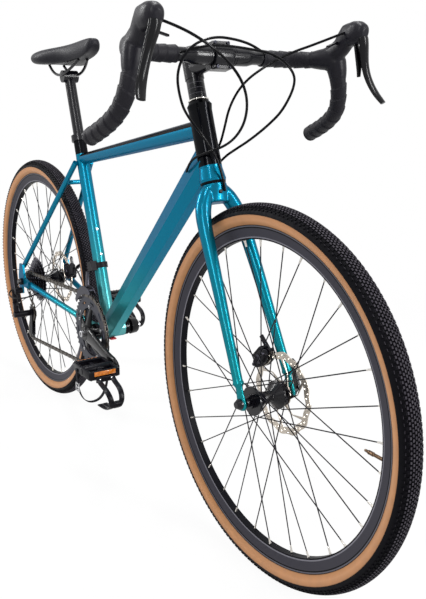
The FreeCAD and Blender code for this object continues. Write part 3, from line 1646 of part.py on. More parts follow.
def make_front_derailleur():
    start = on_seat_tube(dim.fd_band_place)
    outer = dim.seat_tube_radius + dim.fd_band_wall
    placement = along(start, seat_up)
    band = cylinder("fd_band", outer, dim.fd_band_height, placement)
    size = dim.fd_body_size
    middle = start + seat_up * (dim.fd_band_height / 2)
    bore = cylinder("fd_bore", dim.seat_tube_radius, size * 2, along(middle - seat_up * size, seat_up))
    body_middle = middle - LEFT * (outer + dim.fd_body_reach / 2 - dim.fd_band_wall)
    body = block("fd_body", size, dim.fd_body_reach + dim.fd_band_wall, size, along(body_middle, seat_up))
    node("front_derailleur_bracket", cut("front_derailleur_bracket", fuse("fd_solid", band, body), bore))
    ring = pitch_radius(dim.outer_teeth_count) + dim.tooth_tip + dim.fd_ring_gap
    plates = []
    cage_top = ring + dim.fd_cage_height
    half = dim.fd_cage_gap / 2
    for side in (-1, 1):
        low = ring - (dim.fd_cage_height / 3 if side > 0 else 0)
        angles = [dim.fd_front_angle + (dim.fd_rear_angle - dim.fd_front_angle) * i / 3 for i in range(4)]
        points = [turned(angle) * low for angle in angles]
        points += [turned(angle) * cage_top for angle in reversed(angles)]
        shift = bb + LEFT * (side * half - outer_ring_place)
        corners = [p + shift for p in points]
        face = Part.Face(Part.makePolygon(corners + corners[:1]))
        plates.append(face.extrude(LEFT * (side * dim.fd_plate_thickness)))
    tail_angle = (dim.fd_arm_angle + dim.fd_rear_angle) / 2
    tail = bb + turned(tail_angle) * (cage_top - dim.fd_cage_height / 4) - LEFT * float(outer_ring_place)
    pin = Part.makeCylinder(dim.rd_pin_radius, float(dim.fd_cage_gap), tail - LEFT * half, LEFT)
    hinge = fd_hinge()
    arm_reach = cage_top - dim.fd_cage_height / 3
    arm_foot = bb + turned(dim.fd_arm_angle) * arm_reach - LEFT * (outer_ring_place - half)
    arm_run = hinge - arm_foot
    arm = Part.makeCylinder(dim.rd_pin_radius, arm_run.Length, arm_foot, arm_run)
    barrel_start = hinge - AHEAD * dim.fd_barrel_length / 2
    barrel = Part.makeCylinder(dim.rd_pin_radius, float(dim.fd_barrel_length), barrel_start, AHEAD)
    cage = plates[0].fuse([plates[1], pin, arm, barrel])
    node("front_derailleur_cage", shaped("front_derailleur_cage", cage))


def fd_hinge():
    """Where the cage's arm meets the derailleur's body, just outside it."""
    middle = on_seat_tube(dim.fd_band_place + dim.fd_band_height / 2)
    reach = dim.seat_tube_radius + dim.fd_body_reach + dim.fd_band_wall / 2 + dim.rd_pin_radius + dim.seat_gap
    return middle - LEFT * reach


def hanger_bolt():
    return rear_axle - AHEAD * dim.hanger_behind - UP * dim.hanger_below


def rd_link_pins():
    """Tops of the link's two upright pins: at the fixed bracket and at the moving knuckle."""
    pivot, upper, lower = jockey_places()
    swing = math.radians(dim.rd_link_angle)
    run = V(math.cos(swing), math.sin(swing), 0) * dim.rd_link_length
    top = pivot + UP * (dim.rd_knuckle_radius + dim.seat_gap + dim.rd_link_height)
    rear = V(top.x - run.x, -dim.rd_pin_place, top.z)
    return rear, rear + run


def make_rear_derailleur():
    inner = dim.hub_width_rear / 2 + dim.dropout_thickness + dim.seat_gap
    hanger = hanger_bolt()
    pivot, upper, lower = jockey_places()
    rear_pin, front_pin = rd_link_pins()
    half = dim.rd_link_width / 2
    pin = dim.rd_pin_radius
    hole = pin + dim.running_clearance
    link_height = dim.rd_link_height
    boss_length = dim.rd_pin_place + half - inner
    boss_start = sideways(hanger, -float(inner))
    boss = cylinder("rd_boss", dim.rd_bracket_radius, boss_length, along(boss_start, -LEFT))
    foot = rear_pin + UP * dim.seat_gap
    run = V(hanger.x, -dim.rd_pin_place, hanger.z) - foot
    arm = cylinder("rd_arm", half, run.z, along(foot, UP))
    bridge_middle = foot + V(run.x / 2, 0, run.z - half)
    bridge = block("rd_bridge", run.x, half, half, at(bridge_middle))
    bracket_pin = cylinder("rd_bracket_pin", pin, link_height + dim.seat_gap, along(foot, -UP))
    node("rear_derailleur_bracket", fuse("rear_derailleur_bracket", boss, arm, bridge, bracket_pin))
    turn = FreeCAD.Rotation(UP, float(dim.rd_link_angle))
    middle = (rear_pin + front_pin) / 2 - UP * link_height / 2
    link = block("rd_link_plate", dim.rd_link_length, dim.rd_link_width, link_height,
                 FreeCAD.Placement(middle, turn))
    ends = [cylinder("rd_link_end", half, link_height, along(p, -UP)) for p in (rear_pin, front_pin)]
    holes = [cylinder("rd_link_hole", hole, link_height * 3, along(p + UP * link_height, -UP))
             for p in (rear_pin, front_pin)]
    node("rear_derailleur_link", cut("rear_derailleur_link", fuse("rd_link_solid", link, *ends), *holes))
    plate_inner = dim.jockey_thickness / 2 + dim.seat_gap
    cage_face = outer_ring_place + plate_inner + dim.cage_plate_thickness
    knuckle_start = V(pivot.x, -float(cage_face + dim.seat_gap), pivot.z)
    knuckle_length = -front_pin.y + half - cage_face - dim.seat_gap
    barrel = cylinder("rd_barrel", dim.rd_knuckle_radius, knuckle_length, along(knuckle_start, -LEFT))
    knuckle_pin = cylinder("rd_knuckle_pin", pin, link_height + dim.rd_knuckle_radius, along(front_pin, -UP))
    cage_bore = cylinder("rd_cage_bore", hole, knuckle_length, along(knuckle_start, -LEFT))
    knuckle = cut("rear_derailleur_knuckle", fuse("rd_knuckle_solid", barrel, knuckle_pin), cage_bore)
    node("rear_derailleur_knuckle", knuckle)
    make_cage(pivot, upper, lower, plate_inner, knuckle_length - dim.rd_link_width)
    for name, place in (("upper", upper), ("lower", lower)):
        make_jockey(name, place)


def make_cage(pivot, upper, lower, plate_inner, stub):
    """Two plates either side of the jockey wheels, on two axles, with a stub that turns in the knuckle."""
    thick = dim.cage_plate_thickness
    half = dim.cage_plate_width / 2
    pieces = []
    run = lower - upper
    for side in (-1, 1):
        inner = side * plate_inner - outer_ring_place
        shift = V(0, inner if side > 0 else inner - thick, 0)
        middle = (upper + lower) / 2 + shift + LEFT * thick / 2
        pieces.append(block("cage_plate", dim.cage_plate_width, thick, run.Length, along(middle, run)))
        for place in (upper, lower):
            pieces.append(cylinder("cage_end", half, thick, along(place + shift, LEFT)))
        if side < 0:
            pieces.append(cylinder("cage_ear", dim.rd_knuckle_radius, thick, along(pivot + shift, LEFT)))
            pieces.append(cylinder("cage_stub", dim.rd_pin_radius, stub + thick, along(
                pivot + shift + LEFT * thick, -LEFT)))
    for place in (upper, lower):
        start = place - LEFT * (outer_ring_place + plate_inner)
        pieces.append(cylinder("cage_axle", dim.rd_pin_radius, plate_inner * 2, along(start, LEFT)))
    node("rear_derailleur_cage", fuse("rear_derailleur_cage", *pieces))


def make_jockey(name, place):
    hole = dim.rd_pin_radius + dim.running_clearance
    teeth = sprocket(0, int(dim.jockey_teeth_count), dim.jockey_tooth_thickness, hole)
    half = dim.jockey_thickness / 2
    hub = Part.makeCylinder(dim.jockey_hub_radius, dim.jockey_thickness, LEFT * -half, LEFT)
    hub = hub.cut(Part.makeCylinder(hole, dim.jockey_thickness, LEFT * -half, LEFT))
    wheel = shaped("jockey_" + name, teeth.fuse(hub))
    wheel.Placement = at(place - LEFT * float(outer_ring_place))
    node("jockey_wheel_" + name, wheel)


def housing(name, route, radius):
    return swept(name, [V(*point) * dim.route_unit for point in route], radius)


def make_cables():
    """Housings along routes chosen by hand, their points counted in route units from the origin."""
    node("handlebar_cables", group(
        "handlebar_cables",
        housing("rear_shift_housing", RIGHT_SHIFT_ROUTE, dim.housing_radius),
        housing("front_shift_housing", LEFT_SHIFT_ROUTE, dim.housing_radius),
        housing("front_brake_housing", FRONT_BRAKE_ROUTE, dim.housing_radius),
        housing("rear_brake_housing", REAR_BRAKE_ROUTE, dim.housing_radius),
    ))
    node("rear_cables", group(
        "rear_cables",
        housing("derailleur_loop", DERAILLEUR_LOOP_ROUTE, dim.rear_housing_radius),
        housing("caliper_housing", CALIPER_ROUTE, dim.rear_housing_radius),
    ))


RIGHT_SHIFT_ROUTE = (
    (492, -193, 992), (511, -166, 981), (521, -125, 961), (519, -80, 935), (513, -45, 903), (494, -20, 867),
    (460, -5, 828), (420, -8, 797), (366, -24, 780), (322, -29, 764), (297.5, -20.3, 740.5),
)
LEFT_SHIFT_ROUTE = (
    (490, 192.7, 994), (462, 150, 974), (435, 115, 959), (408, 80, 936), (382, 50, 907), (362, 34, 866),
    (352, 29, 820), (338, 28, 787), (307.3, 20.7, 748.7),
)
FRONT_BRAKE_ROUTE = (
    (390.7, 91.5, 958.3), (400, 62, 970), (402, 20, 979), (400, -28, 982), (401, -78, 964), (401, -106, 921),
    (390, -89, 868), (380, -64, 840), (374, -33, 813), (388, 0, 758), (389.1, 8, 711),
)
REAR_BRAKE_ROUTE = (
    (392.5, -91.4, 952.8), (406, -62, 962), (412, -33, 967), (413, 25, 965), (430, 86, 956), (452, 110, 928),
    (465, 105, 902), (464, 80, 859), (445, 62, 832), (414, 45, 805), (380, 36, 786), (350, 31, 770),
    (314.8, 24, 739.2),
)
DERAILLEUR_LOOP_ROUTE = (
    (-440, -66.2, 337.6), (-470, -84, 322), (-506, -102, 312), (-546, -110, 308), (-584, -106, 312),
    (-590.6, -90.3, 322),
)
CALIPER_ROUTE = (
    (-378.1, 52.9, 347.4), (-393, 54, 361), (-415, 56, 376), (-436, 57, 390), (-459.3, 57, 398.3),
)


make_head_tube()
make_top_tube()
make_down_tube()
make_seat_tube()
make_bottom_bracket()
make_rear_stays()
make_headset()
make_seat_clamp()
make_steerer()
make_fork_blades()
make_spacers()
make_stem()
make_handlebar()
make_hoods()
make_levers()
make_wheels()
make_calipers()
make_cassette()
make_chainrings()
make_cranks()
make_chain()
make_pedal(-1, "right")
make_pedal(1, "left")
make_seatpost()
make_saddle()
make_front_derailleur()
make_rear_derailleur()
make_cables()

doc.recompute()
failed = [thing.Name for thing in doc.Objects if "Invalid" in thing.State or "Error" in thing.State]
if failed:
    raise SystemExit("failed: %s" % failed)
for thing in nodes:
    if thing.Shape.isNull() or not thing.Shape.isValid() or not thing.Shape.Solids:
        raise SystemExit("bad shape: %s" % thing.Label)
os.makedirs("parts", exist_ok=True)
for thing in nodes:
    thing.Shape.exportStep("parts/%s.step" % thing.Label)
    print("%s: %d solids, %.0f mm3" % (thing.Label, len(thing.Shape.Solids), thing.Shape.Volume))
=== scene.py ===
import json
import math

import bmesh
import bpy
from mathutils import Matrix, Vector


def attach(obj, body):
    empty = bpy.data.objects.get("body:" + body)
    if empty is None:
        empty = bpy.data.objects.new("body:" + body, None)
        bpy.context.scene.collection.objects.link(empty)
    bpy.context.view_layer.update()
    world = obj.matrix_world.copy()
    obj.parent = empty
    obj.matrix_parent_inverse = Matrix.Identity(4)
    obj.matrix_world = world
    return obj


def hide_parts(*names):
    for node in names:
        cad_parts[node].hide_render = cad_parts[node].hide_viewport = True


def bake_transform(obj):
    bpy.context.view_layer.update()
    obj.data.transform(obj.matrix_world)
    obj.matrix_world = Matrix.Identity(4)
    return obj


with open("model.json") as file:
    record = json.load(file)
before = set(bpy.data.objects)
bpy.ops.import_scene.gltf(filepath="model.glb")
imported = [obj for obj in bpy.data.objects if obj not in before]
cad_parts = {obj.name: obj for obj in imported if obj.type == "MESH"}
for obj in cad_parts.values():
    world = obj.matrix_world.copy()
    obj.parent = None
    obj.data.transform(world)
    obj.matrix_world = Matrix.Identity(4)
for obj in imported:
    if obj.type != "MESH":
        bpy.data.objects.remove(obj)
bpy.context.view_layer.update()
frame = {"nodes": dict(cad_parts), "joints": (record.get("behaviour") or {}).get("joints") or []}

NODES = frame["nodes"]
JOINTS = {joint["name"]: joint for joint in frame["joints"]}
MM = 0.001
SIDES = {"right": -1, "left": 1}
BOTH = (-1, 1)


def pivot(joint):
    """Where a joint's axis passes, in metres."""
    return Vector(JOINTS[joint]["pos_m"])


def mm(x, y, z):
    """A place or a step given in millimetres, in metres."""
    return Vector((x, y, z)) * MM


AXLES = {"front": pivot("front_wheel_spin"), "rear": pivot("rear_wheel_spin")}
CRANK_AXLE = pivot("crank_spin")
STEER_FOOT = mm(497.87, 0, 336.31)
STEER_UP = Vector(JOINTS["steering"]["axis"]).normalized()
STEER_AHEAD = Vector((STEER_UP.z, 0, -STEER_UP.x))
SEAT_UP = Vector(JOINTS["saddle_height"]["axis"]).normalized()
SEAT_AHEAD = Vector((SEAT_UP.z, 0, -SEAT_UP.x))
SEAT_TOP = mm(-307.2, 0, 932.0)
BAR_MIDDLE = mm(377.06, 0, 951.03)
LEFTWARD = Vector((0, 1, 0))
AHEAD = Vector((1, 0, 0))
UPWARD = Vector((0, 0, 1))


def on_steerer(place_mm, ahead_mm=0.0, spread_mm=0.0):
    """A place by its distance up the steering axis, ahead of it and to the left."""
    return STEER_FOOT + (STEER_UP * place_mm + STEER_AHEAD * ahead_mm + LEFTWARD * spread_mm) * MM


# The photograph's frame and the camera that it was taken from

PHOTO_HEIGHT = 599
SENSOR = 36.0
FOCAL_PIXELS = 724.0
CAMERA_PLACE = mm(1509.5, -767.6, 867.1)
CAMERA_AZIMUTH = math.radians(146.157)
CAMERA_ELEVATION = math.radians(-15.068)
CAMERA_ROLL = math.radians(0.66)


def make_camera():
    """The camera at the photograph's viewpoint."""
    level = math.cos(CAMERA_ELEVATION)
    ahead = Vector((level * math.cos(CAMERA_AZIMUTH), level * math.sin(CAMERA_AZIMUTH),
                    math.sin(CAMERA_ELEVATION)))
    across = ahead.cross(UPWARD).normalized()
    upward = across.cross(ahead)
    right = across * math.cos(CAMERA_ROLL) + upward * math.sin(CAMERA_ROLL)
    up = upward * math.cos(CAMERA_ROLL) - across * math.sin(CAMERA_ROLL)
    lens = bpy.data.cameras.new("camera")
    lens.sensor_width = SENSOR
    lens.lens = FOCAL_PIXELS * SENSOR / PHOTO_HEIGHT
    camera = bpy.data.objects.new("camera", lens)
    camera.matrix_world = Matrix((right, up, -ahead)).transposed().to_4x4()
    camera.location = CAMERA_PLACE
    bpy.context.scene.collection.objects.link(camera)
    bpy.context.scene.camera = camera


# Materials

def linear(hex_colour):
    """An sRGB hex colour as linear red, green, blue and alpha."""
    def channel(start):
        value = int(hex_colour[start:start + 2], 16) / 255
        return value / 12.92 if value <= 0.04045 else ((value + 0.055) / 1.055) ** 2.4

    return (channel(1), channel(3), channel(5), 1.0)


def add(tree, kind, values=None, links=None, stops=(), output=None, into=None, **settings):
    """Adds a node with its settings, its sockets' values, the links that feed them and its colour stops.
    Returns one output, the first in use unless one is named, and links it where a socket to feed is given."""
    made = tree.nodes.new("ShaderNode" + kind)
    for name, setting in settings.items():
        setattr(made, name, setting)
    for socket, value in (values or {}).items():
        made.inputs[socket].default_value = value
    for socket, source in (links or {}).items():
        tree.links.new(source, made.inputs[socket])
    for index, (place, colour) in enumerate(stops):
        elements = made.color_ramp.elements
        stop = elements[index] if index < 2 else elements.new(place)
        stop.position = place
        stop.color = linear(colour)
    given = made.outputs[output] if output else next((end for end in made.outputs if end.enabled), None)
    if into:
        tree.links.new(given, into)
    return given


def new_material(name, colour, roughness, **sockets):
    """A material whose shader holds what is the same all over. Returns it, its nodes and the shader."""
    made = bpy.data.materials.new(name)
    made.use_nodes = True
    shader = made.node_tree.nodes["Principled BSDF"]
    shader.inputs["Base Color"].default_value = linear(colour)
    shader.inputs["Roughness"].default_value = roughness
    for socket, value in sockets.items():
        shader.inputs[socket.replace("_", " ")].default_value = value
    made.diffuse_color = linear(colour)
    return made, made.node_tree, shader


NOISE_DETAIL = 3.0
NOISE_SPAN = {"From Min": 0.3, "From Max": 0.7}


def uneven(tree, shader, grain_mm, low, high, depth_mm=0.0):
    """Lets roughness wander over a grain, in relief where a depth is given. Returns the grain."""
    size = {"Scale": 1 / (grain_mm * MM), "Detail": NOISE_DETAIL}
    grain = add(tree, "TexNoise", size, {"Vector": add(tree, "TexCoord", output="Object")}, output="Fac")
    spread = {**NOISE_SPAN, "To Min": low, "To Max": high}
    add(tree, "MapRange", spread, {"Value": grain}, into=shader.inputs["Roughness"])
    if depth_mm:
        depth = {"Strength": 1.0, "Distance": depth_mm * MM}
        add(tree, "Bump", depth, {"Height": grain}, into=shader.inputs["Normal"])
    return grain


def mottled(tree, shader, grain, low, high, colour):
    """Lets a hex colour, or the colour from a socket, wander between two shares of itself over a grain."""
    values = {0: 1.0}
    links = {7: add(tree, "MapRange", {**NOISE_SPAN, "To Min": low, "To Max": high}, {"Value": grain})}
    if isinstance(colour, str):
        values[6] = linear(colour)
    else:
        links[6] = colour
    add(tree, "Mix", values, links, into=shader.inputs["Base Color"], data_type="RGBA", blend_type="MULTIPLY")


def ridged(tree, shader, distance, pitch_mm, strength, depth_mm):
    """Fine lines in relief, a pitch apart along a distance."""
    turns = add(tree, "Math", {1: 2 * math.pi / (pitch_mm * MM)}, {0: distance}, operation="MULTIPLY")
    wave = add(tree, "Math", {}, {0: turns}, operation="SINE")
    depth = {"Strength": strength, "Distance": depth_mm * MM}
    add(tree, "Bump", depth, {"Height": wave}, into=shader.inputs["Normal"])


def offset_from(tree, start):
    """The step from a start to a point."""
    place = add(tree, "TexCoord", output="Object")
    return add(tree, "VectorMath", {1: start}, {0: place}, operation="SUBTRACT")


def along_axis(tree, start, direction):
    """How far a point lies along a direction from a start, in metres."""
    return add(tree, "VectorMath", {1: direction}, {0: offset_from(tree, start)}, operation="DOT_PRODUCT")


def from_axle(tree, axle):
    """How far a point lies from a wheel's axle line, in metres."""
    flat = add(tree, "VectorMath", {1: (1, 0, 1)}, {0: offset_from(tree, axle)}, operation="MULTIPLY")
    return add(tree, "VectorMath", {}, {0: flat}, operation="LENGTH")


def rings_of_colour(tree, radius, inner_mm, outer_mm, stops):
    """A ramp of colours from one radius of a wheel to another."""
    share = add(tree, "MapRange", {"From Min": inner_mm * MM, "From Max": outer_mm * MM}, {"Value": radius})
    return add(tree, "ValToRGB", links={"Fac": share}, stops=stops)


FRAME_FADE = ((0.0, "#5a9fa0"), (1.0, "#006d8b"), (0.22, "#2d8890"), (0.62, "#08718c"))
FRAME_FADE_SPAN = {"From Min": 40 * MM, "From Max": 520 * MM}
FORK_FADE = ((0.0, "#107a7f"), (1.0, "#006884"), (0.35, "#057280"))
FORK_FADE_SPAN = {"From Max": 380 * MM}
LACQUER_EDGE = "#0f86a6"
# Black lacquer, which also serves as painted shade in the seam under the head tube
LACQUER_BLACK_AND_SEAM_SHADE = "#07070b"
LACQUER_LINE = "#b9d3da"
# Real flakes are 0.05 mm wide; they are drawn wider so that they show
FLAKE_WIDTH = 0.8
FLAKE_SHARES = {"To Min": 0.88, "To Max": 1.12}


def flake_lacquer(name, fade, stops, black=None, pale=None):
    """Sprayed and polished metal-flake lacquer: a deep blue that fades to teal, with tight bright reflections
    and a fine sparkle, and with parts masked off in black or in a pale line."""
    made, tree, shader = new_material(name, stops[1][1], 0.28, Metallic=0.62, Specular_IOR_Level=0.03,
                                      Specular_Tint=linear(LACQUER_EDGE), Coat_Weight=0.16,
                                      Coat_Roughness=0.1)
    colour = add(tree, "ValToRGB", links={"Fac": fade(tree)}, stops=stops)
    place = add(tree, "TexCoord", output="Object")
    flakes = add(tree, "TexVoronoi", {"Scale": 1 / (FLAKE_WIDTH * MM)}, {"Vector": place}, output="Color")
    sparkle = add(tree, "MapRange", FLAKE_SHARES, {"Value": flakes})
    colour = add(tree, "Mix", {0: 1.0}, {6: colour, 7: sparkle}, data_type="RGBA", blend_type="MULTIPLY")
    for mask, shade in ((black, LACQUER_BLACK_AND_SEAM_SHADE), (pale, LACQUER_LINE)):
        if mask:
            colour = add(tree, "Mix", {7: linear(shade)}, {0: mask(tree), 6: colour}, data_type="RGBA")
    tree.links.new(colour, shader.inputs["Base Color"])
    return made


def frame_fade(tree):
    """0 at the bottom bracket and 1 far from it."""
    place = add(tree, "TexCoord", output="Object")
    reach = add(tree, "VectorMath", {1: CRANK_AXLE}, {0: place}, operation="DISTANCE")
    return add(tree, "MapRange", FRAME_FADE_SPAN, {"Value": reach})


def fork_fade(tree):
    """0 at the fork's tips and 1 at its crown."""
    return add(tree, "MapRange", FORK_FADE_SPAN, {"Value": along_axis(tree, AXLES["front"], STEER_UP)})


def frame_lacquer(part, black=None, pale=None):
    """The frame's lacquer, masked as one of its parts needs."""
    return flake_lacquer("flake_lacquer_" + part, frame_fade, FRAME_FADE, black, pale)


# Where the frame's paint changes, in mm
HEAD_BAND_TOP = 442
HEAD_BLACK_REAR = -13
HEAD_LINE_WIDTH = 2
# Beyond this span the cups are black: the upper cup above it, and painted shade in the seam below it
CUPS_MIDDLE = 446
CUPS_REACH = 34
TOP_TUBE_REAR = mm(-241.1, 0, 728.5)
TOP_TUBE_RISE = Vector((-0.164, 0, 0.9864))
TOP_STRIP_FOOT = 5.5
SEAT_BLACK_FOOT = 452
SHELL_HALF_WIDTH = 34.4


def beyond(tree, start, direction, place_mm, both_ways=False):
    """1 past a place along a direction from a start, or past it either way, and 0 short of it."""
    reach = along_axis(tree, start, direction)
    if both_ways:
        reach = add(tree, "Math", {}, {0: reach}, operation="ABSOLUTE")
    return add(tree, "Math", {1: place_mm * MM}, {0: reach}, operation="GREATER_THAN")


def head_front(tree, rear_mm):
    """1 on the head tube's front, ahead of that line and above the blue band at its foot."""
    front = beyond(tree, STEER_FOOT, STEER_AHEAD, rear_mm)
    above = beyond(tree, STEER_FOOT, STEER_UP, HEAD_BAND_TOP)
    return add(tree, "Math", {}, {0: front, 1: above}, operation="MULTIPLY")


def head_black(tree):
    """1 on the head tube's black front."""
    return head_front(tree, HEAD_BLACK_REAR)


def head_line(tree):
    """1 on the thin line round the head tube's black front."""
    outer = head_front(tree, HEAD_BLACK_REAR - HEAD_LINE_WIDTH)
    return add(tree, "Math", {}, {0: outer, 1: head_black(tree)}, operation="SUBTRACT")


def black_upper_cup_and_seam_shade(tree):
    """1 above the head tube, on the black upper cup, and in the seam under it, where the black is painted
    shade, so that only the lower bearing cup is left blue.
    """
    return beyond(tree, on_steerer(CUPS_MIDDLE), STEER_UP, CUPS_REACH, both_ways=True)


def top_strip(tree):
    """1 on the upper side of the top tube."""
    return beyond(tree, TOP_TUBE_REAR, TOP_TUBE_RISE, TOP_STRIP_FOOT)


def seat_tube_top(tree):
    """1 on the seat tube above the top tube's joint."""
    return beyond(tree, CRANK_AXLE, SEAT_UP, SEAT_BLACK_FOOT)


def bracket_cups(tree):
    """1 on the bearing cups at both ends of the bottom bracket shell."""
    return beyond(tree, CRANK_AXLE, LEFTWARD, SHELL_HALF_WIDTH, both_ways=True)


BLASTED_GRAIN = 0.6
BLASTED_DEPTH = 0.02


def black_anodised(name, colour, low, high, specular):
    """Blasted and anodised or lacquered metal: black with a fine even grain and soft highlights."""
    made, tree, shader = new_material(name, colour, high, Specular_IOR_Level=specular)
    uneven(tree, shader, BLASTED_GRAIN, low, high, BLASTED_DEPTH)
    return made


SPACERS_FOOT = 571
SPACER_HEIGHT = 10
# A turned edge is 0.5 mm wide; it is drawn wider so that it shows
SPACER_EDGE = 0.9
SPACER_BLACK = "#0b0b11"
SPACER_EDGE_PAINTED_HIGHLIGHT = "#4b4a50"


def spacer_anodised():
    """Anodised spacer rings: black, with a pale painted highlight on the turned edge that parts each ring
    from the next.
    """
    made, tree, shader = new_material("anodised_spacer_rings", SPACER_BLACK, 0.24, Specular_IOR_Level=0.3)
    height = along_axis(tree, on_steerer(SPACERS_FOOT), STEER_UP)
    inside = add(tree, "Math", {1: SPACER_HEIGHT * MM}, {0: height}, operation="FLOORED_MODULO")
    edge = add(tree, "Math", {1: SPACER_EDGE * MM}, {0: inside}, operation="LESS_THAN")
    # Each turned edge takes a pale painted highlight
    shades = {6: linear(SPACER_BLACK), 7: linear(SPACER_EDGE_PAINTED_HIGHLIGHT)}
    add(tree, "Mix", shades, {0: edge}, into=shader.inputs["Base Color"], data_type="RGBA")
    return made


# From the spokes outwards: a dark well of painted shade, a painted highlight on the turned edge, the grey
# side, and a painted highlight on a lip between two grooves darkened with painted shade
RIM_RINGS_AND_PAINTED_LIGHT = ((0.0, "#0c0c11"), (1.0, "#08080a"), (0.12, "#6d6c74"), (0.2, "#38373e"), (0.74, "#08080b"),
             (0.82, "#55545b"), (0.9, "#08080a"))
RIM_SPAN = (288, 316.5)
# Lathe lines are 0.2 mm apart; they are drawn further apart so that they show
LATHE_PITCH = 1.0
# From the rim to the tread: a brown edge that is painted shade, the tan wall and a brown edge
WALL_RINGS = ((0.0, "#6f4a2c"), (1.0, "#7b5534"), (0.12, "#a37248"), (0.5, "#b2815a"), (0.86, "#a6754e"))
WALL_SPAN = (314, 334)
# Casing threads are 0.4 mm apart; they are drawn further apart so that they show
THREAD_PITCH = 1.2


def rim_anodised(end):
    """Turned and anodised aluminium: black and grey rings, among them painted highlights and painted shade,
    with the lathe's lines near the tyre.
    """
    made, tree, shader = new_material("rim_anodised_" + end, "#1f2024", 0.42, Specular_IOR_Level=0.05)
    radius = from_axle(tree, AXLES[end])
    rings = rings_of_colour(tree, radius, *RIM_SPAN, RIM_RINGS_AND_PAINTED_LIGHT)
    rings.node.color_ramp.interpolation = "CONSTANT"
    tree.links.new(rings, shader.inputs["Base Color"])
    ridged(tree, shader, radius, LATHE_PITCH, strength=0.25, depth_mm=0.03)
    return made


def gum_wall(end):
    """Skin of bare tyre cord under clear rubber: tan, with faint threads that run round the wheel."""
    made, tree, shader = new_material("gum_wall_" + end, "#b9803f", 0.55, Specular_IOR_Level=0.3)
    radius = from_axle(tree, AXLES[end])
    rings = rings_of_colour(tree, radius, *WALL_SPAN, WALL_RINGS)
    cloud = uneven(tree, shader, 14.0, 0.45, 0.65)
    mottled(tree, shader, cloud, 0.92, 1.06, rings)
    ridged(tree, shader, radius, THREAD_PITCH, strength=0.2, depth_mm=0.05)
    return made


def tread_rubber(name, low, high):
    """Cured black rubber: dull, slightly dusty, with a faint bloom."""
    made, tree, shader = new_material(name, high, 0.7, Specular_IOR_Level=0.06)
    cloud = uneven(tree, shader, 9.0, 0.5, 0.75)
    add(tree, "ValToRGB", {}, {"Fac": cloud}, ((0.3, low), (0.7, high)), into=shader.inputs["Base Color"])
    return made


def metal(name, colour, low, high, grain_mm):
    """Bare or plated metal: clear highlights, with a grain left by how it was finished."""
    made, tree, shader = new_material(name, colour, high, Metallic=1.0)
    grain = uneven(tree, shader, grain_mm, low, high, 0.01)
    mottled(tree, shader, grain, 0.86, 1.0, colour)
    return made


ROUGHNESS_SPREAD = 0.08


def soft_finish(name, colour, roughness, specular, grain_mm, depth_mm):
    """Rubber, plastic, foam or nylon: dull, with the grain of the mould or the weave in relief."""
    made, tree, shader = new_material(name, colour, roughness, Specular_IOR_Level=specular)
    low = roughness - ROUGHNESS_SPREAD
    grain = uneven(tree, shader, grain_mm, low, roughness + ROUGHNESS_SPREAD, depth_mm)
    mottled(tree, shader, grain, 0.8, 1.25, colour)
    return made


PRISM_WIDTH = 2.5
PRISM_PAINTED_GLINTS = ((0.0, "#a8540c"), (1.0, "#d8801c"))


def amber_lens():
    """Moulded acrylic with corner prisms behind it: clear amber with painted glints, lighter and darker in
    small cells.
    """
    made, tree, shader = new_material("amber_acrylic", "#c46a12", 0.2, Coat_Weight=0.6, Coat_Roughness=0.05)
    place = add(tree, "TexCoord", output="Object")
    cells = add(tree, "TexVoronoi", {"Scale": 1 / (PRISM_WIDTH * MM)}, {"Vector": place}, output="Color")
    add(tree, "ValToRGB", {}, {"Fac": cells}, PRISM_PAINTED_GLINTS, into=shader.inputs["Base Color"])
    return made


# Satin anodised aluminium: black with a soft bright sheen
satin_anodised = black_anodised("satin_anodised_aluminium", "#0b0b11", 0.16, 0.26, 0.3)
# Blasted anodised aluminium: dull black
dull_anodised = black_anodised("blasted_anodised_aluminium", "#0d0c12", 0.38, 0.5, 0.14)
# Painted and polished levers and cranks: deep black with long sharp highlights
gloss_black = black_anodised("polished_black_lacquer", "#060609", 0.16, 0.24, 0.2)
# The tread between its knobs: dull black, slightly dusty
tread = tread_rubber("tread_rubber", "#060609", "#0d0c11")
# The tops of the knobs: a lighter grey that is painted highlight
knob_tops_painted_highlight = tread_rubber("knob_rubber_painted_highlight", "#36333a", "#4a474d")
# Ground stainless steel: warm silver with fine grinding marks
ground_steel = metal("ground_stainless_steel", "#c9c0b4", 0.28, 0.42, 0.7)
# Blackened steel wire: near black with a dull shine along its length
black_wire = metal("blackened_spoke_steel", "#222125", 0.35, 0.45, 1.5)
# Nickel-plated brass: small bright silver points
plated_brass = metal("nickel_plated_brass", "#d6d2cc", 0.2, 0.3, 0.8)
# Turned brass gone brown: a dark bronze shine
brown_brass = metal("browned_brass", "#5e4b3b", 0.3, 0.42, 0.8)
# Oiled chain steel: dark brown-grey links with worn bright edges
oiled_steel = metal("oiled_chain_steel", "#57514b", 0.3, 0.46, 1.2)
# Phosphated sprocket steel: dark grey with a satin shine
dark_steel = metal("phosphated_sprocket_steel", "#45444c", 0.36, 0.5, 1.0)
# Powder-coated chainring steel: dull dark grey
ring_steel = metal("coated_ring_steel", "#42434b", 0.42, 0.54, 1.0)
# Zinc-plated bolts: small bright heads
bolt_steel = metal("zinc_plated_steel", "#c4c4c6", 0.22, 0.34, 0.6)
# Wound foam tape: black, dull, with small open pores
foam_tape = soft_finish("perforated_foam_tape", "#15141a", 0.5, 0.16, 1.1, 0.3)
# Moulded hood rubber: dull black with a fine stipple
hood_rubber = soft_finish("stippled_hood_rubber", "#131219", 0.38, 0.18, 0.9, 0.015)
# Moulded glass-filled plastic: black with a faint mould grain
moulded_plastic = soft_finish("moulded_black_plastic", "#0b0a10", 0.3, 0.14, 0.8, 0.02)
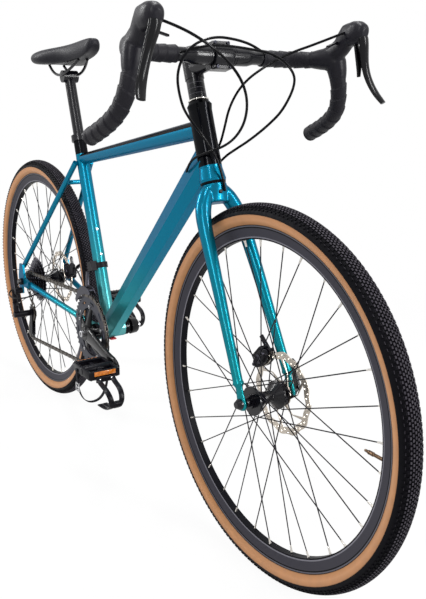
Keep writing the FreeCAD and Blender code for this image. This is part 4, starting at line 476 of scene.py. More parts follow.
# Stamped vinyl over foam: black with a leather grain that catches the light
grained_vinyl = soft_finish("grained_saddle_vinyl", "#15151b", 0.44, 0.16, 2.2, 0.03)
# Woven nylon strap: black, dull, with a coarse weave
strap_nylon = soft_finish("woven_strap_nylon", "#111016", 0.7, 0.12, 1.0, 0.15)
# Extruded cable sheath: smooth black plastic with a soft shine
sheath = soft_finish("extruded_cable_sheath", "#060609", 0.22, 0.08, 3.0, 0.0)
# Moulded nylon: the small bright red cable guide
red_nylon = soft_finish("red_moulded_nylon", "#b3202a", 0.5, 0.4, 0.8, 0.02)
# The pedals' reflectors: clear amber with painted glints
amber = amber_lens()

CAD_FINISHES = (
    (frame_lacquer("frame"), ("down_tube", "chainstays", "seatstays")),
    (frame_lacquer("bracket", bracket_cups), ("bottom_bracket",)),
    (frame_lacquer("head", head_black, head_line), ("head_tube",)),
    (frame_lacquer("top_tube", top_strip), ("top_tube",)),
    (frame_lacquer("seat_tube", seat_tube_top), ("seat_tube",)),
    (frame_lacquer("cups", black_upper_cup_and_seam_shade), ("headset_cups",)),
    (spacer_anodised(), ("headset_spacers",)),
    (satin_anodised, ("seat_clamp", "seatpost", "stem", "front_axle", "rear_axle", "front_hub", "rear_hub",
                      "front_qr_lever", "rear_qr_lever")),
    (dull_anodised, ("front_brake_arm", "rear_brake_arm", "front_derailleur_bracket",
                     "rear_derailleur_bracket", "rear_derailleur_link", "rear_derailleur_knuckle",
                     "rear_derailleur_cage")),
    (rim_anodised("front"), ("front_rim",)),
    (rim_anodised("rear"), ("rear_rim",)),
    (ground_steel, ("steerer_tube",)),
    (black_wire, ("front_spokes", "rear_spokes")),
    (oiled_steel, ("chain",)),
    (dark_steel, ("cassette",)),
    (moulded_plastic, ("jockey_wheel_upper", "jockey_wheel_lower", "shift_thumb_left", "shift_thumb_right")),
)


def finish_cad_nodes():
    """Gives the CAD pieces that stay in view their finishes."""
    for material, names in CAD_FINISHES:
        for name in names:
            for slot in NODES[name].material_slots:
                slot.material = material


# Making pieces

WELD = 0.01 * MM
UPRIGHT = Matrix.Rotation(math.pi / 2, 4, "X")


def mesh_of(bm, name):
    """The finished mesh of a bmesh, with its faces turned outwards."""
    bmesh.ops.recalc_face_normals(bm, faces=bm.faces)
    mesh = bpy.data.meshes.new(name)
    bm.to_mesh(mesh)
    bm.free()
    return mesh


def piece(name, shape, body, slot, *materials, stands_for=(), crease=35):
    """A finished piece, from a mesh or a bmesh, on its body, with the CAD nodes that it stands for."""
    mesh = mesh_of(shape, name) if isinstance(shape, bmesh.types.BMesh) else shape
    mesh.name = name
    for material in materials:
        mesh.materials.append(material)
    mesh.shade_smooth()
    mesh.set_sharp_from_angle(angle=math.radians(crease))
    made = bpy.data.objects.new(name, mesh)
    bpy.context.scene.collection.objects.link(made)
    if body:
        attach(made, body)
    if stands_for:
        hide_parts(*stands_for)
    return made


def mesh_from_curve(curve):
    """The mesh of a curve, which is then dropped."""
    holder = bpy.data.objects.new("holder", curve)
    mesh = bpy.data.meshes.new_from_object(holder)
    bpy.data.objects.remove(holder)
    bpy.data.curves.remove(curve)
    return mesh


def line_mesh(route, radius=0.0, steps=8):
    """A NURBS line with the route's points as its control points: a bare line, or a round rod along it."""
    line = bpy.data.curves.new("line", "CURVE")
    line.dimensions = "3D"
    line.resolution_u = steps
    line.bevel_depth = radius
    line.bevel_resolution = 3
    line.use_fill_caps = True
    spline = line.splines.new("NURBS")
    spline.points.add(len(route) - 1)
    for point, place in zip(spline.points, route):
        point.co = (*place, 1.0)
    spline.order_u = 3
    spline.use_endpoint_u = True
    return mesh_from_curve(line)


def line_points(route, steps):
    """Points along a route's NURBS line."""
    mesh = line_mesh(route, steps=steps)
    points = [vertex.co.copy() for vertex in mesh.vertices]
    bpy.data.meshes.remove(mesh)
    return points


def polar(radius_mm, angle):
    """A place in a plane by its radius in mm and its angle in degrees, in metres."""
    turn = math.radians(angle)
    return radius_mm * MM * math.cos(turn), radius_mm * MM * math.sin(turn)


def add_plate(bm, outlines, thickness_mm, centre, across_mm):
    """An upright plate beside a centre: its first outline is its edge, and the others are holes."""
    plate = bpy.data.curves.new("plate", "CURVE")
    plate.dimensions = "2D"
    plate.fill_mode = "BOTH"
    plate.extrude = thickness_mm * MM / 2
    for outline in outlines:
        spline = plate.splines.new("POLY")
        spline.points.add(len(outline) - 1)
        for point, (x, y) in zip(spline.points, outline):
            point.co = (x, y, 0.0, 1.0)
        spline.use_cyclic_u = True
    mesh = mesh_from_curve(plate)
    mesh.transform(Matrix.Translation(centre + LEFTWARD * across_mm * MM) @ UPRIGHT)
    bm.from_mesh(mesh)
    bpy.data.meshes.remove(mesh)
    bmesh.ops.remove_doubles(bm, verts=bm.verts, dist=WELD)


def oval(centre, across, up, squareness=2.0, count=16):
    """Points round a centre: squareness 2 gives an ellipse, and more gives a boxier outline."""
    def swing(value):
        return math.copysign(abs(value) ** (2 / squareness), value)

    turns = [2 * math.pi * index / count for index in range(count)]
    return [centre + across * swing(math.cos(turn)) + up * swing(math.sin(turn)) for turn in turns]


def loft(bm, rings):
    """A closed skin bridged through rings of points."""
    loops = []
    for ring in rings:
        corners = [bm.verts.new(place) for place in ring]
        loops.append([bm.edges.new((corners[i - 1], corners[i])) for i in range(len(corners))])
    for near, far in zip(loops, loops[1:]):
        bmesh.ops.bridge_loops(bm, edges=near + far)
    for end in (loops[0], loops[-1]):
        bmesh.ops.edgeloop_fill(bm, edges=end)


def tangents(points):
    """The direction of travel at each point of a line."""
    ahead = [(b - a).normalized() for a, b in zip(points, points[1:])]
    return [ahead[0]] + [(a + b).normalized() for a, b in zip(ahead, ahead[1:])] + [ahead[-1]]


def stretched(values, count):
    """Values in mm spread evenly over a number of points, in metres."""
    last = len(values) - 1
    made = []
    for index in range(count):
        share = index * last / (count - 1)
        row = min(int(share), last - 1)
        made.append((values[row] + (values[row + 1] - values[row]) * (share - row)) * MM)
    return made


def lofted_along(bm, points, widths, heights, sideways, squareness, count):
    """A skin along a line, with widths and heights in mm that are spread over its points."""
    rings = []
    sizes = zip(stretched(widths, len(points)), stretched(heights, len(points)))
    for place, run, (width, height) in zip(points, tangents(points), sizes):
        across = (sideways - run * sideways.dot(run)).normalized()
        rings.append(oval(place, across * width / 2, run.cross(across) * height / 2, squareness, count))
    loft(bm, rings)


def lofted_rows(bm, rows, placed, squareness, count, steps=0):
    """A skin through rows that end in a width and a height in mm, and start with what says their place. It
    follows a smooth line where a number of steps is given."""
    points = [placed(*row[:-2]) for row in rows]
    if steps:
        points = line_points(points, steps)
    widths = [row[-2] for row in rows]
    lofted_along(bm, points, widths, [row[-1] for row in rows], LEFTWARD, squareness, count)


def spun(bm, section, centre, steps):
    """Turns a closed section round a wheel's axle into a ring."""
    corners = [bm.verts.new(place) for place in section]
    edges = [bm.edges.new((corners[i - 1], corners[i])) for i in range(len(corners))]
    bmesh.ops.spin(bm, geom=corners + edges, cent=centre, axis=LEFTWARD, dvec=(0, 0, 0), angle=2 * math.pi,
                   steps=steps, use_merge=True)


def turned_rod(bm, start, direction, profile, steps=20):
    """Turns a profile of (place along, radius) in mm about a line, closed at both ends."""
    direction = direction.normalized()
    aside = direction.orthogonal().normalized()
    over = direction.cross(aside)
    loft(bm, [oval(start + direction * (place * MM), aside * (radius * MM), over * (radius * MM), count=steps)
              for place, radius in profile])


BOLT_HEAD = ((0, 3.2), (2.6, 3.2), (3.0, 2.8), (3.0, 1.7), (1.2, 1.6))


def add_bolt(bm, place, direction, scale=1.0):
    """A socket bolt's head."""
    profile = [(along * scale, radius * scale) for along, radius in BOLT_HEAD]
    turned_rod(bm, place, direction, profile, steps=14)


def merge_into(bm, other):
    """Moves another bmesh's shapes into this one."""
    carrier = bpy.data.meshes.new("carrier")
    other.to_mesh(carrier)
    other.free()
    bm.from_mesh(carrier)
    bpy.data.meshes.remove(carrier)


def add_box(bm, centre, size, edge_round):
    """A block with rounded edges, its size and rounding in mm."""
    block = bmesh.new()
    bmesh.ops.create_cube(block, size=1.0)
    bmesh.ops.scale(block, vec=mm(*size), verts=block.verts)
    bmesh.ops.bevel(block, geom=block.edges[:], offset=edge_round * MM, offset_type="OFFSET", segments=2,
                    profile=0.5, affect="EDGES", material=-1)
    bmesh.ops.translate(block, vec=centre, verts=block.verts)
    merge_into(bm, block)


def melded(name, bm, voxel_mm, passes):
    """Melts the bmesh's overlapping shapes into one skin and smooths it."""
    rough = mesh_of(bm, name + "_rough")
    holder = bpy.data.objects.new(name + "_rough", rough)
    bpy.context.scene.collection.objects.link(holder)
    remesh = holder.modifiers.new("skin", "REMESH")
    remesh.mode = "VOXEL"
    remesh.voxel_size = voxel_mm * MM
    mesh = bpy.data.meshes.new_from_object(holder.evaluated_get(bpy.context.evaluated_depsgraph_get()))
    bpy.data.objects.remove(holder)
    bpy.data.meshes.remove(rough)
    bm = bmesh.new()
    bm.from_mesh(mesh)
    for _ in range(passes):
        bmesh.ops.smooth_vert(bm, verts=bm.verts, factor=0.5, use_axis_x=True, use_axis_y=True,
                              use_axis_z=True)
    bm.to_mesh(mesh)
    bm.free()
    return mesh


# Tyres

CASING_RADIUS = 331.0 * MM
CASING_HEIGHT = 20.3 * MM
CASING_HALF_WIDTH = 20.8 * MM
CASING_WALL = 1.6 * MM
CASING_STEPS = 160
BEAD_ANGLE = 143
WALL_ANGLE = 84
SECTION_ANGLES = (0, 12, 24, 36, 48, 60, 72, WALL_ANGLE, 96, 108, 120, 132, BEAD_ANGLE)
TREAD_SECTORS = 20
WALL_SLOT = 1
KNOB_TOP_SLOT = 2
KNOB_SINK = 0.8
KNOB_TOP_SHARE = 0.78
# Rows of knobs: angle from the middle of the tread, count round the wheel, length, width and height in mm,
# and where the row starts as a share of its pitch
KNOB_ROWS = (
    (0, 300, 5.6, 3.6, 1.6, 0.0),
    (11, 300, 5.6, 3.4, 1.6, 0.5),
    (22, 300, 5.6, 3.4, 1.6, 0.0),
    (33, 300, 5.2, 3.2, 1.6, 0.5),
    (45, 200, 6.4, 4.2, 1.8, 0.0),
    (58, 200, 5.6, 3.6, 1.7, 0.5),
)


def casing_point(angle, wall=0.0):
    """A place on the casing's section, across and out from the axle."""
    turn = math.radians(angle)
    across = (CASING_HALF_WIDTH - wall) * math.sin(turn)
    return across, CASING_RADIUS + (CASING_HEIGHT - wall) * math.cos(turn)


def copied_round(bm, axle, copies, pitch):
    """Copies all of a bmesh round the axle, each copy a pitch further on."""
    bmesh.ops.spin(bm, geom=bm.verts[:] + bm.edges[:] + bm.faces[:], cent=axle, axis=LEFTWARD, dvec=(0, 0, 0),
                   angle=pitch * (copies - 1), steps=copies - 1, use_duplicate=True)


def add_knobs(bm, axle, angle, count, length, width, height, start):
    """One sector's share of a row of tread blocks, each a tapered block."""
    pitch = 2 * math.pi / count
    across, out = casing_point(angle)
    row = bmesh.new()
    half_diagonal = math.sqrt(0.5)
    bmesh.ops.create_cone(row, cap_ends=True, segments=4, radius1=half_diagonal,
                          radius2=half_diagonal * KNOB_TOP_SHARE, depth=1.0)
    square = Matrix.Rotation(math.pi / 4, 4, "Z")
    size = Matrix.Diagonal((length * MM, width * MM, (height + KNOB_SINK) * MM, 1.0))
    lean = Matrix.Rotation(-math.radians(angle), 4, "X")
    sunk = Matrix.Translation((0, 0, (height - KNOB_SINK) / 2 * MM))
    begin = Matrix.Rotation(pitch * start, 4, "Y")
    turn = Matrix.Translation(axle) @ begin @ Matrix.Translation((0, across, out)) @ lean @ sunk
    bmesh.ops.transform(row, matrix=turn @ size @ square, verts=row.verts)
    ordered = sorted(row.faces, key=lambda face: (face.calc_center_median() - axle).length)
    # The top face of each knob takes the lighter rubber, a painted highlight
    ordered[-1].material_index = KNOB_TOP_SLOT
    bmesh.ops.delete(row, geom=ordered[:1], context="FACES_ONLY")
    copied_round(row, axle, count // TREAD_SECTORS, pitch)
    merge_into(bm, row)


def make_tyre(end):
    """A tan-walled casing with its rows of knobs."""
    axle = AXLES[end]
    angles = [-a for a in reversed(SECTION_ANGLES[1:])] + list(SECTION_ANGLES)
    outer = [casing_point(angle) for angle in angles]
    inner = [casing_point(angle, CASING_WALL) for angle in reversed(angles)]
    bm = bmesh.new()
    spun(bm, [axle + Vector((0, across, out)) for across, out in outer + inner], axle, CASING_STEPS)
    for face in bm.faces:
        offset = face.calc_center_median() - axle
        out = math.hypot(offset.x, offset.z) - CASING_RADIUS
        low = abs(math.degrees(math.atan2(offset.y / CASING_HALF_WIDTH, out / CASING_HEIGHT)))
        face.material_index = WALL_SLOT if low > WALL_ANGLE else 0
    knobs = bmesh.new()
    for angle, *row in KNOB_ROWS:
        for lean in {angle, -angle}:
            add_knobs(knobs, axle, lean, *row)
    copied_round(knobs, axle, TREAD_SECTORS, 2 * math.pi / TREAD_SECTORS)
    merge_into(bm, knobs)
    piece(end + "_tread_tyre", bm, end + "_wheel", "tan_rubber", tread, gum_wall(end), knob_tops_painted_highlight,
          stands_for=(end + "_tyre",), crease=40)


# Valves and spoke nipples, by (place along, radius) in mm

VALVE_PROFILE = ((0, 3.0), (14, 3.0), (14.5, 2.5), (15.5, 3.0), (16.5, 2.5), (17.5, 3.0), (18.5, 2.5),
                 (19.5, 3.0), (20.5, 2.5), (22, 2.6), (23, 3.6), (33, 3.6), (35, 2.6), (41, 2.2), (42, 1.2))
NIPPLE_PROFILE = ((0, 2.4), (3, 2.4), (4, 1.9), (12, 1.7), (12.5, 1.3))
RIM_HOLE_RADIUS = 288.7
RIM_HOLE_SPREAD = 3
SPOKES = 32
SPOKE_LEAN = 66
FLANGE_RADIUS = 28.4
FLANGES = {"front": {-1: 33, 1: 22}, "rear": {-1: 19, 1: 33}}


def make_valve(end):
    """A threaded valve stem with its cap, which points from the rim to the axle."""
    bm = bmesh.new()
    turned_rod(bm, AXLES[end] + AHEAD * RIM_HOLE_RADIUS * MM, -AHEAD, VALVE_PROFILE, steps=14)
    piece(end + "_valve", bm, end + "_wheel", "steel", brown_brass)


def round_axle(axle, radius_mm, angle, across_mm):
    """A place by its radius and angle round an axle and its place across."""
    turn = math.radians(angle)
    return axle + mm(math.cos(turn) * radius_mm, across_mm, math.sin(turn) * radius_mm)


def make_nipples(end):
    """The nipples at the rim, each in line with its spoke."""
    step = 360 / SPOKES
    bm = bmesh.new()
    for index in range(SPOKES):
        side = 1 if index % 2 else -1
        lean = SPOKE_LEAN if (index // 2) % 2 else -SPOKE_LEAN
        foot = round_axle(AXLES[end], FLANGE_RADIUS, step * index + lean, side * FLANGES[end][side])
        head = round_axle(AXLES[end], RIM_HOLE_RADIUS, step * index + step / 2, side * RIM_HOLE_SPREAD)
        turned_rod(bm, head, foot - head, NIPPLE_PROFILE, steps=8)
    piece(end + "_nipples", bm, end + "_wheel", "silver_alloy", plated_brass)


# Disc rotors, in mm and degrees

ROTOR_PLACES = {"front": 36, "rear": 51}
ROTOR_THICKNESS = 1.8
ROTOR_WAVES = 12
ROTOR_RADIUS = 78.2
ROTOR_WAVE = 1.8
ROTOR_BORE = 10
WINDOW_PITCH = 60
WINDOW_FOOT = 24
WINDOW_FOOT_ANGLES = (8, 18, 30, 42, 52)
WINDOW_SIDE = 44
WINDOW_SIDE_ANGLES = (15, 73)
WINDOW_TOP = 65
WINDOW_TOP_WAVE = 1.6
WINDOW_TOP_ANGLES = range(92, 36, -5)
DRILLED_HOLES = 48
DRILLED_START = 3
DRILLED_RADII = (73.6, 69.0)
DRILLED_SIZE = 2.1


def rotor_outlines():
    """The wavy edge of a disc rotor, its bore, its windows between swept arms, and its drilled holes."""
    def wave(angle):
        return math.cos(math.radians(angle * ROTOR_WAVES))

    edge = [polar(ROTOR_RADIUS + ROTOR_WAVE * wave(angle), angle) for angle in range(0, 360, 3)]
    outlines = [edge, [polar(ROTOR_BORE, angle) for angle in range(0, 360, 15)]]
    for start in range(0, 360, WINDOW_PITCH):
        inner = [polar(WINDOW_FOOT, start + angle) for angle in WINDOW_FOOT_ANGLES]
        outer = [polar(WINDOW_TOP + WINDOW_TOP_WAVE * wave(start + angle), start + angle)
                 for angle in WINDOW_TOP_ANGLES]
        near, far = (polar(WINDOW_SIDE, start + angle) for angle in WINDOW_SIDE_ANGLES)
        outlines.append(inner + [far] + outer + [near])
    for hole in range(DRILLED_HOLES):
        x, y = polar(DRILLED_RADII[hole % 2], hole * 360 / DRILLED_HOLES + DRILLED_START)
        rim = [polar(DRILLED_SIZE, angle) for angle in range(0, 360, 45)]
        outlines.append([(x + aside, y + over) for aside, over in rim])
    return outlines


def make_rotor(end):
    """A wavy disc rotor."""
    bm = bmesh.new()
    add_plate(bm, rotor_outlines(), ROTOR_THICKNESS, AXLES[end], ROTOR_PLACES[end])
    piece(end + "_wavy_rotor", bm, end + "_wheel", "steel", ground_steel, stands_for=(end + "_rotor",),
          crease=30)


# Disc calipers, in mm

CALIPER_BODIES = {"front": "fork", "rear": "frame"}
CALIPER_CENTRES = {"front": mm(487.5, 36, 405), "rear": mm(-477, 51, 384)}
CALIPER_GAP = 2.2
# Rows along a cast half and along the bridge: place along, width and height
CALIPER_HALF = ((-23, 9, 11), (-20, 12, 17), (-8, 13, 26), (8, 13, 26), (20, 12, 17), (23, 9, 11))
CALIPER_HALF_OUT = 6
CALIPER_BRIDGE = ((-17, 18, 5), (-14, 24, 9), (14, 24, 9), (17, 18, 5))
CALIPER_BRIDGE_OUT = 15
ADJUSTER_RADII = {-1: 9.5, 1: 8.5}
ADJUSTER_OUT = 11.5
CALIPER_BOLT_OUT = 11
CALIPER_BOLT_STEP = 19
CALIPER_BOLT_SCALE = 1.1


def make_caliper(end):
    """Two cast halves either side of the rotor, bridged beyond its edge, with an adjuster and two bolts."""
    centre = CALIPER_CENTRES[end]
    body = CALIPER_BODIES[end]
    outward = (centre - AXLES[end] - LEFTWARD * ROTOR_PLACES[end] * MM).normalized()
    along = outward.cross(LEFTWARD)
    bm = bmesh.new()
    for side in BOTH:
        middle = centre + LEFTWARD * side * (CALIPER_GAP + CALIPER_HALF_OUT) * MM
        lofted_rows(bm, CALIPER_HALF, lambda step: middle + along * step * MM, squareness=3.2, count=20)
    bridge = centre + outward * CALIPER_BRIDGE_OUT * MM
    lofted_rows(bm, CALIPER_BRIDGE, lambda step: bridge + along * step * MM, squareness=3.5, count=20)
    mesh = melded("cast_caliper_" + end, bm, voxel_mm=1.1, passes=3)
    piece("cast_caliper_" + end, mesh, body, "black_alloy", dull_anodised,
          stands_for=(end + "_caliper",), crease=50)
    fittings = bmesh.new()
    for side, radius in ADJUSTER_RADII.items():
        start = centre + LEFTWARD * side * (CALIPER_GAP + ADJUSTER_OUT) * MM
        turned_rod(fittings, start, LEFTWARD * side,
                   ((0, radius), (2.6, radius), (3.2, 7), (3.2, 3.4), (2.0, 3)), 18)
    outer_face = LEFTWARD * (CALIPER_GAP + CALIPER_BOLT_OUT) * MM
    for side in BOTH:
        place = centre + along * side * CALIPER_BOLT_STEP * MM - outer_face
        add_bolt(fittings, place, -LEFTWARD, CALIPER_BOLT_SCALE)
    piece("caliper_fittings_" + end, fittings, body, "steel", dark_steel)


# Fork, in mm

# One leg's line down to its foot: place up the steering axis, ahead of it and to the side, and the thickness
FORK_LEG = (
    (404, 0, 6, 26), (397, 1, 15, 29), (386, 2, 24.5, 31), (370, 4, 33, 31), (350, 7, 39.5, 29.5),
    (322, 12, 43.5, 27.5), (280, 18.5, 45.6, 25.8), (225, 26.5, 48.2, 23.8), (165, 34, 51, 21.8),
    (115, 40, 53.2, 20),
)
# The foot is placed from the axle
FOOT_THICKNESS = 18.5
FOOT_RISE = 36
FOOT_SPREAD = 56.2
COLLAR_RISE = 4
COLLAR_PROFILE = ((0, 9), (1.5, 10.6), (5, 10.6), (7, 8.5), (12, 6))
# Width and depth of the flat tip by the drop below the foot, and of the crown by the place up the axis
TIP_ROWS = ((-2, 7, 17), (8, 8, 17), (18, 8, 18), (28, 8, 21), (36, 8, 23), (44, 8, 20), (49, 6, 11))
CROWN_ROWS = ((407, 49, 49), (400, 49, 46), (386, 54, 38), (372, 60, 32))
FORK_VOXEL = 1.7


def make_fork():
    """Two legs that run into a crown, each with a collar and a flat tip that reaches past the axle."""
    bm = bmesh.new()
    for side in SIDES.values():
        foot = AXLES["front"] + STEER_UP * FOOT_RISE * MM + LEFTWARD * side * FOOT_SPREAD * MM
        route = [on_steerer(up, ahead, side * spread) for up, ahead, spread, _ in FORK_LEG] + [foot]
        thickness = [thick for *_, thick in FORK_LEG] + [FOOT_THICKNESS]
        lofted_along(bm, line_points(route, 6), thickness, thickness, LEFTWARD, squareness=2.0, count=20)
        turned_rod(bm, foot + STEER_UP * COLLAR_RISE * MM, -STEER_UP, COLLAR_PROFILE)
        lofted_rows(bm, TIP_ROWS, lambda drop: foot - STEER_UP * drop * MM, squareness=4.0, count=20)
    lofted_rows(bm, CROWN_ROWS, on_steerer, squareness=2.2, count=28)
    mesh = melded("painted_fork", bm, voxel_mm=FORK_VOXEL, passes=3)
    fork_lacquer = flake_lacquer("flake_lacquer_fork", fork_fade, FORK_FADE)
    piece("painted_fork", mesh, "fork", "blue_paint", fork_lacquer, stands_for=("fork_blades",), crease=60)


# Bar and tape, in mm

BAR_PROFILE = ((20, 15.9), (24, 15.9), (24.4, 16.6), (26, 16.6), (26.4, 15.9), (29, 15.9), (29.4, 16.6),
               (31, 16.6), (31.4, 15.9), (55, 15.9), (60, 15.6), (72, 12.4), (94, 12.4))
# The taped side of the bar: ahead, to the side and down from the bar's middle
BAR_SIDE = ((0, 92, 0), (0, 178, 0), (74, 210, 0), (78, 224, 60), (52, 236, 112), (-27, 244, 139))
TAPE_RADIUS = 14.3
TAPE_RISE = 1.5
TAPE_PITCH = 21
TAPE_STEPS = 64
TAPE_CORNERS = 22
PLUG_PROFILE = ((0, 14.6), (2.5, 14.6), (4, 13), (5, 9))


def make_bar_middle():
    """The bare middle of the handlebar, thicker where the stem grips it, with two ridges on each side."""
    bm = bmesh.new()
    profile = [(-place, radius) for place, radius in reversed(BAR_PROFILE)] + list(BAR_PROFILE)
    turned_rod(bm, BAR_MIDDLE, LEFTWARD, profile, steps=28)
    piece("bar_middle", bm, "fork", "black_alloy", satin_anodised, stands_for=("handlebar",))


def make_tape(name, side):
    """Tape wound along one side of the bar, each turn lapped over the last, with a plug in its end."""
    route = [BAR_MIDDLE + mm(ahead, side * spread, -drop) for ahead, spread, drop in BAR_SIDE]
    points = line_points(route, TAPE_STEPS)
    runs = tangents(points)
    rings = []
    gone = 0.0
    across = UPWARD
    for index, (place, run) in enumerate(zip(points, runs)):
        if index:
            gone += (place - points[index - 1]).length / MM
        across = (across - run * across.dot(run)).normalized()
        up = run.cross(across)
        ring = []
        for corner in range(TAPE_CORNERS):
            turn = 2 * math.pi * corner / TAPE_CORNERS
            lap = (gone / TAPE_PITCH - side * corner / TAPE_CORNERS) % 1.0
            radius = (TAPE_RADIUS + TAPE_RISE * (1 - lap)) * MM
            ring.append(place + across * radius * math.cos(turn) + up * radius * math.sin(turn))
        rings.append(ring)
    bm = bmesh.new()
    loft(bm, rings)
    tape = piece("tape_" + name, bm, "fork", "bar_tape", foam_tape, crease=50)
    plug = bmesh.new()
    turned_rod(plug, points[-1] - runs[-1] * MM, runs[-1], PLUG_PROFILE, steps=24)
    piece("bar_plug_" + name, plug, "fork", "black_plastic", moulded_plastic)
    return tape


# Hoods, levers and paddles, by rows of (ahead, to the side, up, width, height) in mm

HOOD_RAMP = ((403, 187, 951, 27, 27), (411, 193, 951, 32, 32), (424, 201, 951.5, 39, 38),
             (440, 208.5, 952, 42, 42), (455, 212, 950, 37, 36))
HOOD_DROP = ((448, 211, 956, 36, 34), (451, 213, 945, 38, 38), (452.5, 215.8, 931, 35, 35),
             (453.2, 217.6, 919, 31.5, 31.5), (453.3, 219, 911, 27, 27))
HOOD_HEAD = ((436, 206, 955, 34, 36), (452, 209, 961, 33, 37), (467, 210, 972, 29, 36),
             (478, 210, 985, 31, 38), (488, 210, 997, 33, 36), (496, 210, 1004, 27, 23))
HOOD_NOSE = ((474, 210, 985, 28, 34), (489, 210, 991, 34, 42), (503, 210, 994, 36, 42),
             (514, 210, 995, 33, 37), (522, 210, 994, 26, 28), (526.5, 210, 993, 15, 16))
BRACKET = ((466, 210, 964, 19, 16), (475, 210, 975, 24, 18), (483, 210, 985, 24, 12), (488, 210, 990, 20, 8))
PADDLE_ROWS = ((503, 208, 982, 9, 5), (507, 210, 970, 13, 5), (508, 214, 952, 14, 4.5),
               (508, 218, 934, 13, 4.5), (505, 221, 919, 8, 4))
# A lever's rows start from its pivot
LEVER_ROWS = ((-6, 0.5, 0, 15, 8), (0, 1, -2, 20, 10), (3.5, 2, -9, 22, 12), (3.5, 4, -20, 21.5, 12),
              (1, 9, -38, 19.5, 11), (-1, 14, -56, 18, 10), (0.5, 20, -75, 17.5, 9), (6, 27, -93, 17.5, 8),
              (14, 33.5, -108, 17.5, 7.5), (22, 38, -118, 17, 7), (25.5, 39.5, -122, 15, 6))


def make_hood(name, side):
    """A rubber hood drawn over the bar's bend, with its horn, and the plastic bracket that it covers."""
    def placed(x, y, z):
        return mm(x, side * y, z)

    bm = bmesh.new()
    for part in (HOOD_RAMP, HOOD_DROP, HOOD_HEAD, HOOD_NOSE):
        lofted_rows(bm, part, placed, squareness=2.3, count=20)
    mesh = melded("hood_" + name, bm, voxel_mm=1.5, passes=7)
    hood = piece("hood_" + name, mesh, "fork", "black_rubber", hood_rubber, crease=80)
    bm = bmesh.new()
    lofted_rows(bm, BRACKET, placed, squareness=3.0, count=20)
    mesh = melded("lever_bracket_" + name, bm, voxel_mm=1.3, passes=3)
    piece("lever_bracket_" + name, mesh, "fork", "black_plastic", moulded_plastic, crease=60)
    return hood


def make_lever(name, side):
    """A curved brake lever blade with a crease down its face, and the shift paddle behind it."""
    lever = "brake_lever_" + name
    start = pivot(lever + "_pull")
    bm = bmesh.new()
    lofted_rows(bm, LEVER_ROWS, lambda x, y, z: start + mm(x, side * y, z), squareness=1.75, count=20,
                steps=5)
    piece("lever_blade_" + name, bm, lever, "gloss_black", gloss_black, stands_for=(lever,), crease=50)
    paddle = "shift_paddle_" + name
    bm = bmesh.new()
    lofted_rows(bm, PADDLE_ROWS, lambda x, y, z: mm(x, side * y, z), squareness=2.6, count=16, steps=5)
    piece("paddle_blade_" + name, bm, paddle, "gloss_black", gloss_black, stands_for=(paddle,), crease=50)


# Faceplate, in mm

STEM_AHEAD = Vector((0.9763, 0, 0.21644))
STEM_RISE = Vector((-0.21644, 0, 0.9763))
FACEPLATE_RADIUS = 18.7
FACEPLATE_ANGLES = range(-84, 85, 12)
FACEPLATE_WIDTH = 40
FACEPLATE_THICKNESS = 5
EAR_RISE = 21
# Rows ahead along an ear: place, width and height
EAR_ROWS = ((-1, 38, 7), (0, 40, 7.6), (8, 40, 7.6), (10, 36, 6))
EAR_BOLT_PLACE = 9.6
EAR_BOLT_SPREAD = 14


def make_faceplate():
    """A plate bent round the bar, with an ear above and below for its bolts."""
    def placed(ahead, rise):
        return BAR_MIDDLE + (STEM_AHEAD * ahead + STEM_RISE * rise) * MM

    bm = bmesh.new()
    turns = [math.radians(angle) for angle in FACEPLATE_ANGLES]
    points = [placed(FACEPLATE_RADIUS * math.cos(turn), FACEPLATE_RADIUS * math.sin(turn)) for turn in turns]
    lofted_along(bm, points, (FACEPLATE_WIDTH,) * 2, (FACEPLATE_THICKNESS,) * 2, LEFTWARD,
                 squareness=6.0, count=20)
    bolts = bmesh.new()
    for side in BOTH:
        lofted_rows(bm, EAR_ROWS, lambda ahead: placed(ahead, side * EAR_RISE), squareness=5.0, count=20)
        for aside in BOTH:
            place = placed(EAR_BOLT_PLACE, side * EAR_RISE) + LEFTWARD * aside * EAR_BOLT_SPREAD * MM
            add_bolt(bolts, place, STEM_AHEAD)
    piece("bent_faceplate", bm, "fork", "black_alloy", satin_anodised, stands_for=("stem_faceplate",),
          crease=40)
    piece("faceplate_bolts", bolts, "fork", "steel", ring_steel)


def make_cockpit():
    """The bar with its clamp, tape, hoods and levers."""
    make_bar_middle()
    make_faceplate()
    tapes = [make_tape(name, side) for name, side in SIDES.items()]
    hoods = [make_hood(name, side) for name, side in SIDES.items()]
    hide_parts("bar_tape")
    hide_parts("brake_hoods")
    for name, side in SIDES.items():
        make_lever(name, side)


# Cables, by the control points of their lines, in mm

RIGHT_SHIFT = ((492, -193, 992), (511, -166, 981), (521, -125, 961), (519, -80, 935), (513, -45, 903),
               (494, -20, 867), (460, -5, 828), (420, -8, 797), (366, -24, 780), (322, -29, 764),
               (297.5, -20.3, 740.5))
LEFT_SHIFT = ((490, 192.7, 994), (462, 150, 974), (435, 115, 959), (408, 80, 936), (382, 50, 907),
              (362, 34, 866), (352, 29, 820), (338, 28, 787), (307.3, 20.7, 748.7))
FRONT_BRAKE = ((390.7, 91.5, 958.3), (400, 62, 970), (402, 20, 979), (400, -28, 982), (401, -78, 964),
               (401, -106, 921), (390, -89, 868), (380, -64, 840), (374, -33, 813), (388, 0, 758),
               (389.1, 8, 711))
REAR_BRAKE = ((392.5, -91.4, 952.8), (406, -62, 962), (412, -33, 967), (413, 25, 965), (430, 86, 956),
              (452, 110, 928), (465, 105, 902), (464, 80, 859), (445, 62, 832), (414, 45, 805),
              (380, 36, 786), (350, 31, 770), (314.8, 24, 739.2))
DERAILLEUR_LOOP = ((-440, -66.2, 337.6), (-470, -84, 322), (-506, -102, 312), (-546, -110, 308),
                   (-584, -106, 312), (-590.6, -90.3, 322))
